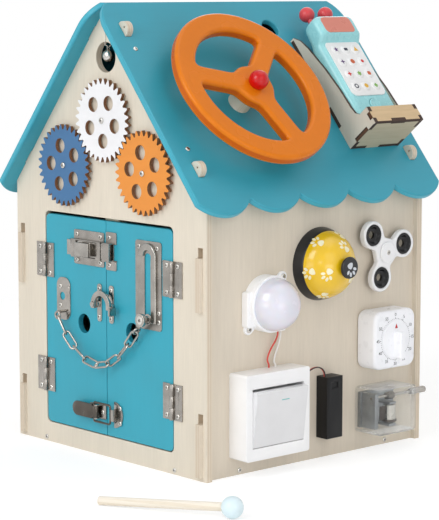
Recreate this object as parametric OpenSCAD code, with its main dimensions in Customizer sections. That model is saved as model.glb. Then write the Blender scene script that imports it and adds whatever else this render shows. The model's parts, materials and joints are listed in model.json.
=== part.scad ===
// Wooden busy board built as a small house: plywood boards that hook together,
// two hinged doors with latches, meshing gears, a steering wheel, a toy phone in
// a holder, and a wall of switches, lamp, bell, spinner, timer and music box.
// Millimetres, +Z up. The origin is the middle of the base on the floor.
// Front gable faces -Y, the equipped side wall faces +X.

/* [House boards] */
// Width over the front gable
house_w = 304; // [298:1:320]
// Depth over the faces of the two gables
house_d = 304; // [302:1:330]
// Height of the shoulders, where the roof starts
shoulder_h = 275; // [266:1:300]
// Slope of each roof panel, degrees
roof_pitch = 50.4; // [48:0.1:53]
// Thickness of the gable and wall boards
ply = 7; // [6:0.5:8]
// Thickness of the base board
base_t = 9; // [8:0.5:12]
// Step from the side edges of the gables in to the walls
wall_inset = 5.6; // [5:0.1:8]
// Play between boards that slot together
board_fit = 0.15; // [0.1:0.05:0.3]

/* [Hook tabs] */
// Height of each hook head of a wall
hook_h = 53; // [40:1:60]
// How far a hook head stands out of the gable
hook_out = 4; // [3:0.5:6]
// How far a hook head hangs down over the gable
hook_drop = 11; // [8:0.5:14]
// Open slot above a hook, which lets it lift out
hook_free = 10; // [8:0.5:14]
// Height of the lower hooks
hook_low_z = 4; // [2:0.5:8]
// Height of the upper hooks
hook_high_z = 167; // [120:1:190]

/* [Roof] */
// Thickness of the roof panels
roof_t = 7; // [6:0.5:8]
// Overhang past each gable
roof_overhang = 18; // [12:1:24]
// Eave line below the shoulder, along the slope
eave_drop = 4.6; // [3:0.2:12]
// Number of scallops along each eave
scallop_count = 5; // [3:1:7]
// Depth of a scallop below the eave line
scallop_depth = 16; // [10:0.5:20]
// Width of the flat planed along the ridge
ridge_flat_w = 10; // [4:0.5:12]
// Radius of the panel corners at the ridge ends
ridge_corner_r = 36; // [16:1:38]
// Radius of the round head of a gable tongue
tongue_r = 8.2; // [6:0.1:10]
// Lower tongue, up the slope from the shoulder
tongue_low_s = 33.5; // [28:0.5:50]
// Upper tongue, up the slope from the shoulder
tongue_high_s = 205; // [190:1:212]
// Diameter of the peg hole in the right panel
peg_hole_d = 20.5; // [16:0.5:24]
// Peg hole, back from the front gable
peg_hole_y = 200.7; // [196:0.1:202]
// Peg hole, up the slope
peg_hole_s = 203.3; // [190:0.1:210]

/* [Doors] */
// Width of the door opening
door_open_w = 206; // [200:1:210]
// Height of the door opening
door_open_h = 225.5; // [220:0.5:228]
// Height of the sill under the doors
door_sill_z = 21.5; // [18:0.5:24]
// Corner radius of the opening
door_corner_r = 6; // [3:0.5:10]
// Gap between a door and its jamb
door_side_gap = 1.2; // [0.8:0.1:1.6]
// Gap over the doors
door_top_gap = 3; // [1:0.5:4]
// Gap under the doors
door_bottom_gap = 1; // [0.5:0.1:2]
// Gap between the two doors
door_seam_gap = 0.8; // [0.6:0.1:1.5]
// Place of the seam, from the middle of the opening
door_seam_x = -2; // [-4:0.5:0]
// Diameter of the finger holes
finger_hole_d = 20; // [16:0.5:24]
// Finger holes, out from the middle of the opening
finger_hole_x = 39; // [38:0.5:41]
// Width of the stop block behind the doors
stop_w = 22; // [16:1:30]
// Height of the stop block
stop_h = 27; // [20:1:34]
// Thickness of the stop block
stop_t = 8; // [6:0.5:12]

/* [Hinges] */
// Height of a hinge
hinge_h = 36; // [30:1:42]
// Reach of a leaf from the pin
hinge_leaf = 14.5; // [12:0.5:18]
// Thickness of the sheet that leaves and plates are pressed from
sheet_t = 1.2; // [1:0.1:1.3]
// Outer radius of a knuckle
knuckle_r = 2.2; // [2:0.05:2.3]
// Radius of the hinge pins
hinge_pin_r = 1; // [0.8:0.05:1.2]
// Running clearance of pins and axles in their bores
bore_play = 0.05; // [0.02:0.01:0.09]
// Distance between the two hinges of a door
hinge_spread = 122.1; // [100:0.1:130]

/* [Gears] */
// Teeth on each gear
gear_teeth = 32; // [32:1:32]
// Module of the teeth
gear_module = 2.5; // [2.4:0.01:2.52]
// Thickness of the gears
gear_t = 4; // [3:0.5:6]
// Thickness of the washer behind each gear
gear_washer_t = 2; // [1:0.5:3]
// Side gears, out from the middle of the gable
gear_side_x = 63.5; // [62:0.5:66]
// Wood left between a side gear and the door opening
gear_door_gap = 7.5; // [5:0.5:10]
// Radius of the gear axles
gear_axle_r = 2; // [1.5:0.1:2.5]
// Diameter of the five holes in a gear
gear_hole_d = 15; // [12:0.5:16]

/* [Bell hole] */
// Diameter of the jingle bell hole
bell_hole_d = 31; // [28:0.5:34]
// Bell hole, below the peak of the gable
bell_hole_drop = 49.4; // [48:0.2:52]
// Wood bridge between the bell hole and the loop hole
bell_bridge = 7.7; // [7:0.1:9]
// Diameter of the jingle bell
jingle_d = 12.6; // [10:0.2:13]
// Thickness of the elastic loop
elastic_d = 0.8; // [0.6:0.1:1]

/* [Slide bolt] */
// Depth of the bolt's middle line below the top of the doors
bolt_drop = 34; // [33:0.5:37]
// Height of the bolt bar
bolt_bar_h = 16; // [12:0.5:16]
// Thickness of the bolt bar
bolt_bar_t = 4; // [3:0.5:5]
// Length of the bolt bar
bolt_bar_l = 57; // [50:1:60]
// Length of the bolt's plate
bolt_plate_l = 49.2; // [46:0.2:52]
// Height of the bolt's plate
bolt_plate_h = 35.6; // [34:0.2:38]
// Width of the keeper's plate
keeper_w = 16.8; // [14:0.2:20]
// Height of the keeper's plate
keeper_h = 38.9; // [36:0.1:42]

/* [Door chain] */
// Wire of the chain links
link_wire_d = 2.3; // [2:0.1:2.4]
// Width over a link
link_w = 9.6; // [9.2:0.1:10]
// Middle plane of the chain, out from the doors
chain_out = 9; // [8.8:0.1:10]
// Width of the slotted track plate
track_w = 40; // [36:1:44]
// Height of the slotted track plate
track_h = 89; // [87:1:94]
// Middle of the track, from the middle of the opening
track_x = 66; // [64:0.5:67]
// Depth of the chain track's middle below the top of the doors
track_drop = 61.5; // [61:0.5:65]
// Width of the track's slot
slot_w = 8; // [7:0.5:9]
// Diameter of the keyhole at the top of the slot
keyhole_d = 12; // [11.5:0.1:13]
// Radius of the slider's stem
slider_stem_r = 3.5; // [3:0.05:3.8]
// Travel of the slider up the slot
slider_travel = 60; // [50:1:62]

/* [Clasp and latch] */
// Height of the clasp's middle above the middle of the doors
clasp_rise = 25.05; // [22:0.05:28]
// Height of the clasp plates
clasp_plate_h = 39; // [36:0.5:42]
// Middle radius of the clasp's arch
clasp_r = 12.25; // [12:0.05:13]
// Width of the arch's bar
clasp_bar = 5.5; // [4.5:0.1:6]
// Height of the latch above the door sill
latch_rise = 24.5; // [22:0.5:27]
// Length of the latch's lever
lever_l = 34; // [28:1:40]
// Height of the latch's lever
lever_h = 15; // [13:0.5:16]
// Wire of the latch's loop
loop_wire_d = 2.2; // [2:0.1:2.3]

/* [Steering wheel] */
// Outer radius of the rim
wheel_r = 91.2; // [82:0.2:92]
// Width of the rim
wheel_rim_w = 23; // [18:1:26]
// Thickness of the wheel
wheel_t = 13; // [9:0.5:14]
// Radius of the hub
wheel_hub_r = 24; // [20:0.5:26]
// Width of the three spokes
wheel_spoke_w = 21.5; // [16:0.5:26]
// Height of the boss that carries the wheel
wheel_boss_h = 19.5; // [17:0.5:24]
// Radius of the boss
wheel_boss_r = 12; // [9:0.5:14]
// Radius of the wheel's axle
wheel_axle_r = 3; // [2.5:0.1:4]
// Diameter of the ball on the hub
wheel_ball_d = 20; // [16:0.5:22]
// Wheel's middle, back from the front gable
wheel_y = 99.5; // [90:0.5:104]
// Wheel's middle, up the slope
wheel_s = 108.3; // [105:0.1:110]

/* [Phone and holder] */
// Width over the holder's cheeks
holder_w = 72.1; // [71:0.1:76]
// Holder's middle, back from the front gable
holder_y = 254.5; // [252:0.5:256]
// Thickness of the holder's boards
holder_t = 3; // [2.5:0.1:3]
// Lower face of the holder's floor, up the slope
holder_s = 43.7; // [43:0.1:46]
// Height of the holder's lip above the roof
holder_lip_h = 46; // [44:0.5:50]
// Length of the lip, up the slope
holder_lip_l = 20; // [16:0.5:24]
// Length of a cheek up the slope
cheek_l = 141; // [134:1:142]
// Width of the phone
phone_w = 62; // [60:0.5:65]
// Length of the phone
phone_l = 143; // [135:1:143]
// Height of the phone's keypad face above the roof
phone_face_h = 29; // [28:0.5:33]
// Height of the phone's head above the roof
phone_head_h = 38.5; // [36:0.5:42]
// Travel of the phone up out of its holder
phone_travel = 110; // [90:1:120]

/* [Lamp] */
// Lamp's middle, back from the middle of the wall
lamp_y = -71; // [-73:1:-69]
// Lamp's middle height
lamp_z = 169; // [168.5:0.5:175]
// Radius of the lamp's base
lamp_base_r = 28.5; // [27.5:0.5:29]
// Height of the lamp's base
lamp_base_h = 14.5; // [12:0.5:18]
// Radius of the frosted dome
lamp_dome_r = 26.5; // [22:0.5:27]

/* [Desk bell] */
// Bell's middle, back from the middle of the wall
bell_y = 5.5; // [2:0.5:10]
// Bell's middle height
bell_z = 201.2; // [190:0.2:206]
// Radius of the bell's base at the wall
bell_base_r = 37.4; // [36.5:0.1:38.5]
// Height of the bell's base
bell_base_h = 12; // [9:0.5:14]
// Radius of the dome's ball shape
bell_dome_r = 35.8; // [35:0.1:36.4]
// Travel of the bell's button
bell_travel = 2.5; // [1.5:0.1:2.8]

/* [Hand spinner] */
// Spinner's middle, back from the middle of the wall
spinner_y = 91; // [90:0.2:98]
// Spinner's middle height
spinner_z = 206.5; // [203:0.5:212]
// Radius from the middle to each lobe
spinner_reach = 27; // [24:0.5:27]
// Radius of a lobe
spinner_lobe_r = 15; // [13:0.5:15]
// Thickness of the spinner
spinner_t = 7.5; // [6:0.5:9]
// Gap between the spinner and the wall
spinner_out = 6; // [4:0.5:8]

/* [Timer] */
// Timer's middle, back from the middle of the wall
timer_y = 91; // [90:0.2:94]
// Timer's middle height
timer_z = 117; // [110:0.5:120]
// Side of the timer's square case
timer_side = 61; // [54:1:62]
// Depth of the case
timer_d = 26.6; // [24:0.2:30]
// Radius of the knob's disc
timer_knob_r = 20; // [16:0.5:21]

/* [Music box] */
// Middle of the music box, back from the middle of the wall
music_y = 88.1; // [86:0.1:92]
// Lower face of the music box
music_z = 19; // [16:0.2:22]
// Width of the clear case
music_w = 57.5; // [56:0.1:60]
// Height of the clear case
music_h = 48.5; // [47:0.5:52]
// Depth of the clear case
music_d = 33; // [31:0.5:36]
// Wall of the clear case
music_wall = 1.6; // [1.2:0.1:2]

/* [Switch and battery] */
// Front side of the switch, back from the middle of the wall
switch_y = -117.8; // [-120:0.2:-116]
// Lower face of the switch
switch_z = 18; // [16:0.5:24]
// Side of the switch's square box
switch_side = 86; // [84:1:90]
// Depth of the switch's box
switch_d = 25.5; // [22:0.5:30]
// Width of the rocker
rocker_w = 69; // [60:1:72]
// Height of the rocker
rocker_h = 56; // [50:1:60]
// Tilt of the rocker each way, degrees
rocker_tilt = 7; // [5:0.5:7.5]
// Front side of the battery box, back from the middle of the wall
battery_y = 2.4; // [2:0.2:6]
// Lower face of the battery box
battery_z = 22; // [16:0.5:26]
// Width of the battery box
battery_w = 22.6; // [20:0.2:26]
// Height of the battery box
battery_h = 64; // [62:1:64]
// Depth of the battery box
battery_d = 16; // [14:0.5:20]

/* [Mallet] */
// Diameter of the mallet's ball
mallet_ball_d = 21; // [18:0.5:26]
// Diameter of the mallet's stick
mallet_stick_d = 8.5; // [6:0.5:10]

/* [Hidden] */
$fn = 64;
cut = 1; // how far a cutting solid runs past the face that it cuts
gap = 0.2; // gap kept between faces that move past each other

// Boards
gable_y = house_d / 2;
wall_x = house_w / 2 - wall_inset;
peak_z = shoulder_h + house_w / 2 * tan(roof_pitch);
wall_top = shoulder_h + wall_inset * tan(roof_pitch) - board_fit;
roof_len = house_d + 2 * roof_overhang;
ridge_s = (house_w / 2 + roof_t * sin(roof_pitch)) / cos(roof_pitch);
ridge_top = peak_z + roof_t / cos(roof_pitch) - ridge_flat_w / 2 * tan(roof_pitch);
scallop_w = roof_len / scallop_count;
scallop_r = (scallop_w * scallop_w / 4 + scallop_depth * scallop_depth) / (2 * scallop_depth);

// Screws: base boards, roof and small plates
screw_head_r = 2.6;
screw_head_h = 1.2;
screw_shank_r = 1.2;
screw_l = 5;
base_screw_x = 104;
wood_screw_l = 12;

// Doors and hinges
door_top = door_sill_z + door_open_h;
hinge_x = door_open_w / 2 - door_side_gap / 2;
hinge_out = knuckle_r + 0.1;
leaf_start = knuckle_r + 2 * gap;
door_middle = door_sill_z + door_open_h / 2;
hinge_zs = [door_middle - hinge_spread / 2, door_middle + hinge_spread / 2];
finger_hole_z = door_middle;
bolt_z = door_top - bolt_drop;
track_z = door_top - track_drop;
clasp_z = door_middle + clasp_rise;
latch_z = door_sill_z + latch_rise;
knuckle_h = hinge_h / 3;
hinge_screw_x = 8.2;
hinge_screw_z = hinge_h / 2 - 4.5;
door_left_span = [-door_open_w / 2 + door_side_gap, door_seam_x - door_seam_gap / 2];
door_right_span = [door_seam_x + door_seam_gap / 2, door_open_w / 2 - door_side_gap];
door_height = [door_sill_z + door_bottom_gap, door_top - door_top_gap];

// Gears: straight-flanked teeth that follow the mesh line
gear_pitch_r = gear_teeth * gear_module / 2;
gear_tip_r = gear_pitch_r + 0.92 * gear_module;
gear_root_r = gear_pitch_r - 1.3 * gear_module;
tooth_pitch = 360 / gear_teeth;
tooth_pitch_w = 1.36 * gear_module;
tooth_tip_w = 0.48 * gear_module;
tooth_root_w = 2.24 * gear_module;
gear_distance = 2 * gear_pitch_r + 0.2;
gear_side_z = door_top + gear_pitch_r + gear_module + gear_door_gap;
gear_top_z = gear_side_z + sqrt(gear_distance * gear_distance - gear_side_x * gear_side_x);
mesh_right = -asin((gear_top_z - gear_side_z) / gear_distance);
mesh_left = 180 - mesh_right;
white_phase = mesh_right;
orange_phase = mesh_right + 180 + tooth_pitch / 2;
mesh_step = (white_phase - mesh_left) - tooth_pitch * floor((white_phase - mesh_left) / tooth_pitch);
blue_phase = mesh_left + 180 - mesh_step + tooth_pitch / 2;
gear_hole_ring = 20.7;
gear_faces = [gear_washer_t, gear_washer_t + gear_t];

// Bell hole and loop hole in the front gable
bell_hole_z = peak_z - bell_hole_drop;
loop_hole_d = 3;
loop_hole_z = bell_hole_z + bell_hole_d / 2 + bell_bridge + loop_hole_d / 2;
jingle_z = bell_hole_z + 1.5;
elastic_low_z = loop_hole_z - 12;
shackle_z = loop_hole_z - 15;

// Slide bolt on the left door, keeper on the right one
bolt_bottom = sheet_t + 0.1;
bolt_top = bolt_bottom + bolt_bar_t;
bolt_end_x = door_left_span[1] - 0.6;
bolt_plate_x = door_left_span[1] - 1.4 - bolt_plate_l / 2;
bolt_rail = bolt_bar_h / 2 + gap;
bolt_roof = [bolt_top + gap, bolt_top + gap + 1];
keeper_x = door_right_span[0] + 0.8 + keeper_w / 2;
plate_screw_inset = [5.5, 4.6];

// Door chain: joints of the links from the anchor to the slider
link_r = (link_w - link_wire_d) / 2;
link_pitch = 18.74;
link_l = link_pitch + link_wire_d + gap;
link_turns = [-53, -43, -31, -13, 10, 30, 42, 47];
chain_left_links = 5;
chain_split = (2 * link_wire_d + 3.5 * gap) * [cos(20), sin(20)]; // step between the halves of the chain
slot_start_z = track_z - track_h / 2 + 10.5;
slot_end_z = track_z + track_h / 2 - 15;
slider_z = slot_start_z;
track_box_w = 24;
track_box_out = 4;
tab_l = 17.7;
tab_turn = 53;
tab_end = tab_l - 2 * link_r + link_wire_d / 2 + gap / 2;
tab_faces = [8.4, 9.6];
chain_end = [track_x - tab_l * cos(tab_turn), slider_z - tab_l * sin(tab_turn)];
anchor_w = 22.7;
anchor_h = 45;

// Clasp across the seam
clasp_x = door_seam_x - 1.4;
clasp_arm_z = clasp_z - 1.3;
clasp_out = [4.2, 7.5];
clasp_left_x = clasp_x - 8.6;
clasp_right_x = clasp_x + 10.65;
clasp_screw_z = 14.6;
clasp_pin_r = 1.5;

// Draw latch across the seam
latch_x = door_seam_x - 11;
latch_out = 5.5;
latch_pin_r = 1;
latch_crank = 3.5;
latch_lug_r = 2.2;
loop_r = loop_wire_d / 2;
loop_leg = lever_h / 2 + 2.4;
loop_end_x = door_seam_x + 12;
strike_x = loop_end_x + loop_r + 0.5;

// Steering wheel
wheel_faces = [wheel_boss_h + gap, wheel_boss_h + gap + wheel_t];
wheel_spoke_turns = [46, 166, 286];

// Phone and its holder, measured up the slope
floor_tab = [0.26 * holder_lip_h, 0.72 * holder_lip_h];
lip_tab = [holder_s + 0.3 * holder_lip_l, holder_s + 0.7 * holder_lip_l];
phone_s = holder_s + holder_t + 0.3;
phone_top = phone_s + phone_l;
phone_back_h = holder_t + 0.5;
phone_corner_r = 9;
keypad_up = 78;
keypad_s = phone_s + keypad_up;
keypad_w = 50;
keypad_l = 71;
button_up = 30.5;
button_s = phone_s + button_up;
button_r = 7.5;

// Lamp, bell and spinner on the wall
lamp_ear_turns = [46.5, 226.5];
lamp_ear_reach = lamp_base_r + 5;
gland_y = lamp_y + 15;
gland_z = lamp_z - 29;
bell_dome_up = 2.2;
bell_rim_r = sqrt(bell_dome_r * bell_dome_r - pow(bell_base_h - bell_dome_up, 2));
bell_post_r = 3.2;
bell_plunger_r = 2;
bell_top = bell_dome_r + bell_dome_up;
spinner_faces = [spinner_out, spinner_out + spinner_t];
spinner_post_r = 4;

// Timer
timer_shaft_r = 3;
timer_shaft_l = 10;

// Music box
crank_up = 37;
crank_z = music_z + crank_up;
crank_out = 17;
crank_r = 1.6;
crank_neck = 7.4;
crank_grip = 22;
drum_y = music_y + 5;
drum_r = 6.5;
drum_z = [music_z + 12, music_z + 27.5];
spindle_r = 1.5;
music_left = music_y - music_w / 2;
music_right = music_y + music_w / 2;

// Switch rocker
rocker_y = switch_y + switch_side / 2;
rocker_z = switch_z + switch_side / 2 - 1;
rocker_pivot = switch_d - 5.5;
switch_wall = 2.5;

// Wires: back from the middle of the wall, height, out from the wall
wire_d = 1.8;
red_wire = [[-58, 140, 6], [-58, 136, 6], [-60, 130, 5], [-64, 124, 4], [-68, 118, 4], [-70, 112, 4],
  [-69, 107, 5], [-69, 104, 5]];
white_wire = [[-54, 140, 6], [-54, 136, 6], [-55, 129, 5], [-57, 121, 4], [-60, 114, 4], [-61, 109, 4],
  [-60, 106, 5], [-60, 104, 5]];
lead_d = 2.4;
lead = [[-31.8, 92, 10], [-29, 92, 10], [-24, 93, 10], [-18, 95, 10], [-11, 97, 10], [-5, 97, 10],
  [0, 95, 10], [3, 92, 10], [4.4, 88.5, 10], [4.4, 86, 10]];

// Mallet lying in front of the house: tail and head, aside from its right wall and before its gable
mallet_tail_place = [-4, 131];
mallet_head_place = [115, 71];
mallet_tail = [house_w / 2 + mallet_tail_place[0], -gable_y - mallet_tail_place[1]];
mallet_head = [house_w / 2 + mallet_head_place[0], -gable_y - mallet_head_place[1]];

// Frames of the three equipped faces: across, up, and out of the face
module on_front() { translate([0, -gable_y, 0]) rotate([90, 0, 0]) children(); }
module on_wall() { translate([wall_x, 0, 0]) rotate([90, 0, 90]) children(); }
module on_roof() {
  translate([house_w / 2 + roof_t * sin(roof_pitch), -gable_y, shoulder_h + roof_t * cos(roof_pitch)])
    rotate([0, roof_pitch - 90, 0])
      rotate([90, 0, 90])
        children();
}

// A box between two limits on each axis
module block(x, y, z) {
  translate([x[0], y[0], z[0]]) cube([x[1] - x[0], y[1] - y[0], z[1] - z[0]]);
}

// A cylinder along z between two heights
module disc(x, y, r, z) { translate([x, y, z[0]]) cylinder(r = r, h = z[1] - z[0]); }

// A ring along z between two heights
module ring(x, y, outer, inner, z) {
  translate([x, y, z[0]])
    linear_extrude(z[1] - z[0])
      difference() {
        circle(outer);
        circle(inner);
      }
}

// A round rod between two points
module rod(a, b, r) {
  d = b - a;
  translate(a)
    rotate([0, acos(d[2] / norm(d)), atan2(d[1], d[0])])
      cylinder(r = r, h = norm(d));
}

// A centred rectangle with round corners
module rounded(w, h, r) {
  square([w - 2 * r, h], center = true);
  square([w, h - 2 * r], center = true);
  for (x = [-1, 1], y = [-1, 1])
    translate([x * (w / 2 - r), y * (h / 2 - r)]) circle(r);
}

// A plate with round corners between two heights
module plate(x, y, w, h, r, z) {
  translate([x, y, z[0]]) linear_extrude(z[1] - z[0]) rounded(w, h, r);
}

// A screw with a low head on a surface at a given height, shank downwards
module screw(x, y, face, length) {
  disc(x, y, screw_head_r, [face, face + screw_head_h]);
  disc(x, y, screw_shank_r, [face - length, face]);
}

// A hole for a screw's shank
module pilot(x, y, z) { disc(x, y, screw_shank_r + bore_play, z); }

// Corner places of a plate, set in from its edges
function corner_places(x, y, w, h, inset) =
  [for (i = [-1, 1], j = [-1, 1]) [x + i * (w / 2 - inset[0]), y + j * (h / 2 - inset[1])]];

// Places of the small screws on the doors
function hinge_screws(side) =
  [for (z = hinge_zs, j = [-1, 1]) [side * (hinge_x - hinge_screw_x), z + j * hinge_screw_z]];
function jamb_screws(side) =
  [for (z = hinge_zs, j = [-1, 1]) [side * (hinge_x + hinge_screw_x), z + j * hinge_screw_z]];
bolt_screws = corner_places(bolt_plate_x, bolt_z + 0.8, bolt_plate_l, bolt_plate_h, plate_screw_inset);
keeper_screws = [for (j = [-1, 1]) [keeper_x - 2.4, bolt_z + 0.8 + j * (keeper_h / 2 - 5.6)]];
clasp_left_screws = [for (j = [-1, 1]) [clasp_left_x, clasp_z + j * clasp_screw_z]];
clasp_right_screws = [for (j = [-1, 1]) [clasp_right_x, clasp_z + j * clasp_screw_z]];
anchor_place = [chain_start()[0] - 1.6, chain_start()[1] + 18.6];
anchor_screws = [for (j = [-1, 1]) [anchor_place[0] - 4.5, anchor_place[1] + 2.6 + j * 10]];
track_top_screw = [14, 38];
track_side_screw = 16.3;
track_side_drops = [26.5, 35.5];
track_screws = [for (i = [-1, 1]) [track_x + i * track_top_screw[0], track_z + track_top_screw[1]],
  for (drop = track_side_drops) [track_x + track_side_screw, track_z - drop]];
latch_screws = [[latch_x - 11, latch_z], [latch_x + 6, latch_z]];
strike_screws = [for (j = [-1, 1]) [strike_x + 9, latch_z + j * 7.8]];

// Sum of the first n links of the chain, as a step from its start
function chain_step(n) =
  n == 0 ? [0, 0] : chain_step(n - 1) + link_pitch * [cos(link_turns[n - 1]), sin(link_turns[n - 1])];
// The chain is laid back from the slider's tab to the anchor
function chain_start() = chain_end - chain_step(len(link_turns)) - chain_split;

// Outline of a gable, with its four tongues
module gable_outline() {
  half = house_w / 2;
  polygon([[-half, 0], [half, 0], [half, shoulder_h], [0, peak_z], [-half, shoulder_h]]);
  for (side = [0, 1], s = [tongue_low_s, tongue_high_s])
    mirror([side, 0])
      translate([half, shoulder_h])
        rotate(180 - roof_pitch)
          translate([s, -roof_t]) {
            circle(tongue_r);
            translate([-tongue_r, 0]) square([2 * tongue_r, roof_t + 2]);
          }
}

// Slots, pin holes and screw holes that both gables share
module gable_cuts(z) {
  for (side = [-1, 1], h = [hook_low_z, hook_high_z])
    block([side * (wall_x - ply / 2) - ply / 2 - board_fit, side * (wall_x - ply / 2) + ply / 2 + board_fit],
      [h + hook_drop - board_fit, h + hook_h + hook_free], z);
  for (side = [0, 1], s = [tongue_low_s, tongue_high_s])
    mirror([side, 0, 0])
      translate([house_w / 2, shoulder_h, 0])
        rotate(180 - roof_pitch)
          disc(s, -roof_t - 3.5, 1.25, z);
  for (x = [-1, 1])
    pilot(x * base_screw_x, base_t / 2, z);
}

// The roof screws enter a gable's edges
module roof_screw_cuts() {
  for (side = [0, 1], s = [tongue_low_s + 24.3, tongue_high_s - 24.7])
    mirror([side, 0, 0])
      on_roof()
        translate([ply / 2, s, -wood_screw_l])
          cylinder(r = screw_shank_r + bore_play, h = wood_screw_l + cut);
}

module front_gable() {
  color("burlywood")
    difference() {
      on_front()
        difference() {
          translate([0, 0, -ply]) linear_extrude(ply) gable_outline();
          plate(0, door_sill_z + door_open_h / 2, door_open_w, door_open_h, door_corner_r,
            [-ply - cut, cut]);
          gable_cuts([-ply - cut, cut]);
          disc(0, bell_hole_z, bell_hole_d / 2, [-ply - cut, cut]);
          disc(0, loop_hole_z, loop_hole_d / 2, [-ply - cut, cut]);
          for (g = [[0, gear_top_z], [-gear_side_x, gear_side_z], [gear_side_x, gear_side_z]])
            disc(g[0], g[1], gear_axle_r + bore_play, [-ply - cut, cut]);
          for (side = [-1, 1], p = jamb_screws(side))
            pilot(p[0], p[1], [-screw_l, cut]);
        }
      roof_screw_cuts();
    }
}

module back_gable() {
  color("burlywood")
    mirror([0, 1, 0])
      difference() {
        on_front()
          difference() {
            translate([0, 0, -ply]) linear_extrude(ply) gable_outline();
            gable_cuts([-ply - cut, cut]);
          }
        roof_screw_cuts();
      }
}

// A side wall: board between the gables, with two hooks at each end
module side_wall() {
  difference() {
    union() {
      block([wall_x - ply, wall_x], [-gable_y + ply, gable_y - ply], [0, wall_top]);
      for (end = [0, 1], h = [hook_low_z, hook_high_z])
        mirror([0, end, 0]) {
          block([wall_x - ply, wall_x], [-gable_y - hook_out, -gable_y + ply],
            [h + hook_drop, h + hook_h]);
          block([wall_x - ply, wall_x], [-gable_y - hook_out, -gable_y], [h, h + hook_h]);
        }
    }
    for (y = [-1, 1])
      translate([wall_x - ply - cut, y * base_screw_x, base_t / 2])
        rotate([0, 90, 0]) cylinder(r = screw_shank_r + bore_play, h = ply + 2 * cut);
  }
}

module right_wall() { color("burlywood") side_wall(); }

module left_wall() { color("burlywood") mirror([1, 0, 0]) side_wall(); }

// Base board between the walls and the gables
module base_board() {
  color("burlywood")
    difference() {
      block([-wall_x + ply, wall_x - ply], [-gable_y + ply, gable_y - ply], [0, base_t]);
      for (turn = [0, 90, 180, 270])
        rotate([0, 0, turn])
          base_screw_places(turn)
            translate([0, 0, -wood_screw_l])
              cylinder(r = screw_shank_r + bore_play, h = wood_screw_l + cut);
    }
}

// Two screw places on the side that a quarter turn brings to the front
module base_screw_places(turn) {
  face = (turn % 180 == 0) ? gable_y : wall_x;
  for (x = [-1, 1])
    translate([x * base_screw_x, -face, base_t / 2]) rotate([90, 0, 0]) children();
}

// Outline of a roof panel: across, and up the slope
module roof_outline() {
  half = roof_len / 2;
  translate([-half, -eave_drop]) square([roof_len, ridge_s + eave_drop - ridge_corner_r]);
  translate([ridge_corner_r - half, -eave_drop]) square([roof_len - 2 * ridge_corner_r, ridge_s + eave_drop]);
  for (x = [-1, 1])
    translate([x * (half - ridge_corner_r), ridge_s - ridge_corner_r]) circle(ridge_corner_r);
  for (i = [0:scallop_count - 1])
    translate([(i + 0.5) * scallop_w - half, -eave_drop])
      intersection() {
        translate([0, scallop_r - scallop_depth]) circle(scallop_r);
        translate([-scallop_w / 2, -scallop_depth]) square([scallop_w, scallop_depth + cut]);
      }
}

module roof_panel() {
  difference() {
    on_roof()
      difference() {
        translate([gable_y, 0, -roof_t]) linear_extrude(roof_t) roof_outline();
        for (y = [ply / 2, house_d - ply / 2], s = [tongue_low_s, tongue_high_s])
          block([y - ply / 2 - board_fit, y + ply / 2 + board_fit],
            [s - tongue_r - board_fit, s + tongue_r + board_fit], [-roof_t - cut, cut]);
        for (y = [ply / 2, house_d - ply / 2], s = [tongue_low_s + 24.3, tongue_high_s - 24.7])
          pilot(y, s, [-roof_t - cut, cut]);
      }
    block([-house_w, 0], [-house_d, house_d], [0, 2 * peak_z]);
    block([-house_w, house_w], [-house_d, house_d], [ridge_top, 2 * peak_z]);
  }
}

module roof_right() {
  color("cadetblue")
    difference() {
      roof_panel();
      on_roof() {
        disc(peg_hole_y, peg_hole_s, peg_hole_d / 2, [-roof_t - cut, cut]);
        disc(wheel_y, wheel_s, wheel_axle_r + bore_play, [-roof_t - cut, cut]);
      }
    }
}

module roof_left() { color("cadetblue") mirror([1, 0, 0]) roof_panel(); }

// Screws of the base, the roof, the jamb leaves and the gears
module house_screws() {
  color("silver") {
    for (turn = [0, 90, 180, 270])
      rotate([0, 0, turn]) base_screw_places(turn) screw(0, 0, 0, wood_screw_l);
    for (side = [0, 1], end = [0, 1], s = [tongue_low_s + 24.3, tongue_high_s - 24.7])
      mirror([side, 0, 0])
        mirror([0, end, 0])
          on_roof()
            screw(ply / 2, s, 0, wood_screw_l);
    on_front() {
      for (side = [-1, 1], p = jamb_screws(side))
        screw(p[0], p[1], sheet_t, screw_l);
      for (g = [[0, gear_top_z], [-gear_side_x, gear_side_z], [gear_side_x, gear_side_z]]) {
        disc(g[0], g[1], gear_axle_r, [-ply, gear_faces[1] + gap]);
        disc(g[0], g[1], gear_axle_r + 1.2, [gear_faces[1] + gap, gear_faces[1] + gap + 2]);
        ring(g[0], g[1], gear_axle_r + 4, gear_axle_r, [0, gear_washer_t - gap]);
      }
    }
  }
}

module door_stop() {
  color("burlywood")
    on_front()
      block([-stop_w / 2, stop_w / 2], [door_top - door_top_gap - 9, door_top - door_top_gap - 9 + stop_h],
        [-ply - stop_t, -ply]);
}

// Knuckles and leaf of one hinge side; rows lists which thirds of the height it has
module leaf(side, z, rows) {
  for (row = rows) {
    low = z + (row - 1.5) * knuckle_h + gap / 2;
    translate([side * hinge_x, low, hinge_out])
      rotate([-90, 0, 0])
        ring(0, 0, knuckle_r, hinge_pin_r + bore_play, [0, knuckle_h - gap]);
  }
}

// The sheet of a leaf, reaching away from the pin; dir is the way that it reaches
module leaf_sheet(side, dir, z, rows) {
  x = side * hinge_x;
  reach = [min(x + dir * leaf_start, x + dir * hinge_leaf), max(x + dir * leaf_start, x + dir * hinge_leaf)];
  block(reach, [z - hinge_h / 2, z + hinge_h / 2], [0, sheet_t]);
  for (row = rows) {
    low = z + (row - 1.5) * knuckle_h + gap / 2;
    block([min(x, x + dir * (leaf_start + 1)), max(x, x + dir * (leaf_start + 1))],
      [low, low + knuckle_h - gap], [0.1, sheet_t - 0.05]);
  }
}

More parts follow.
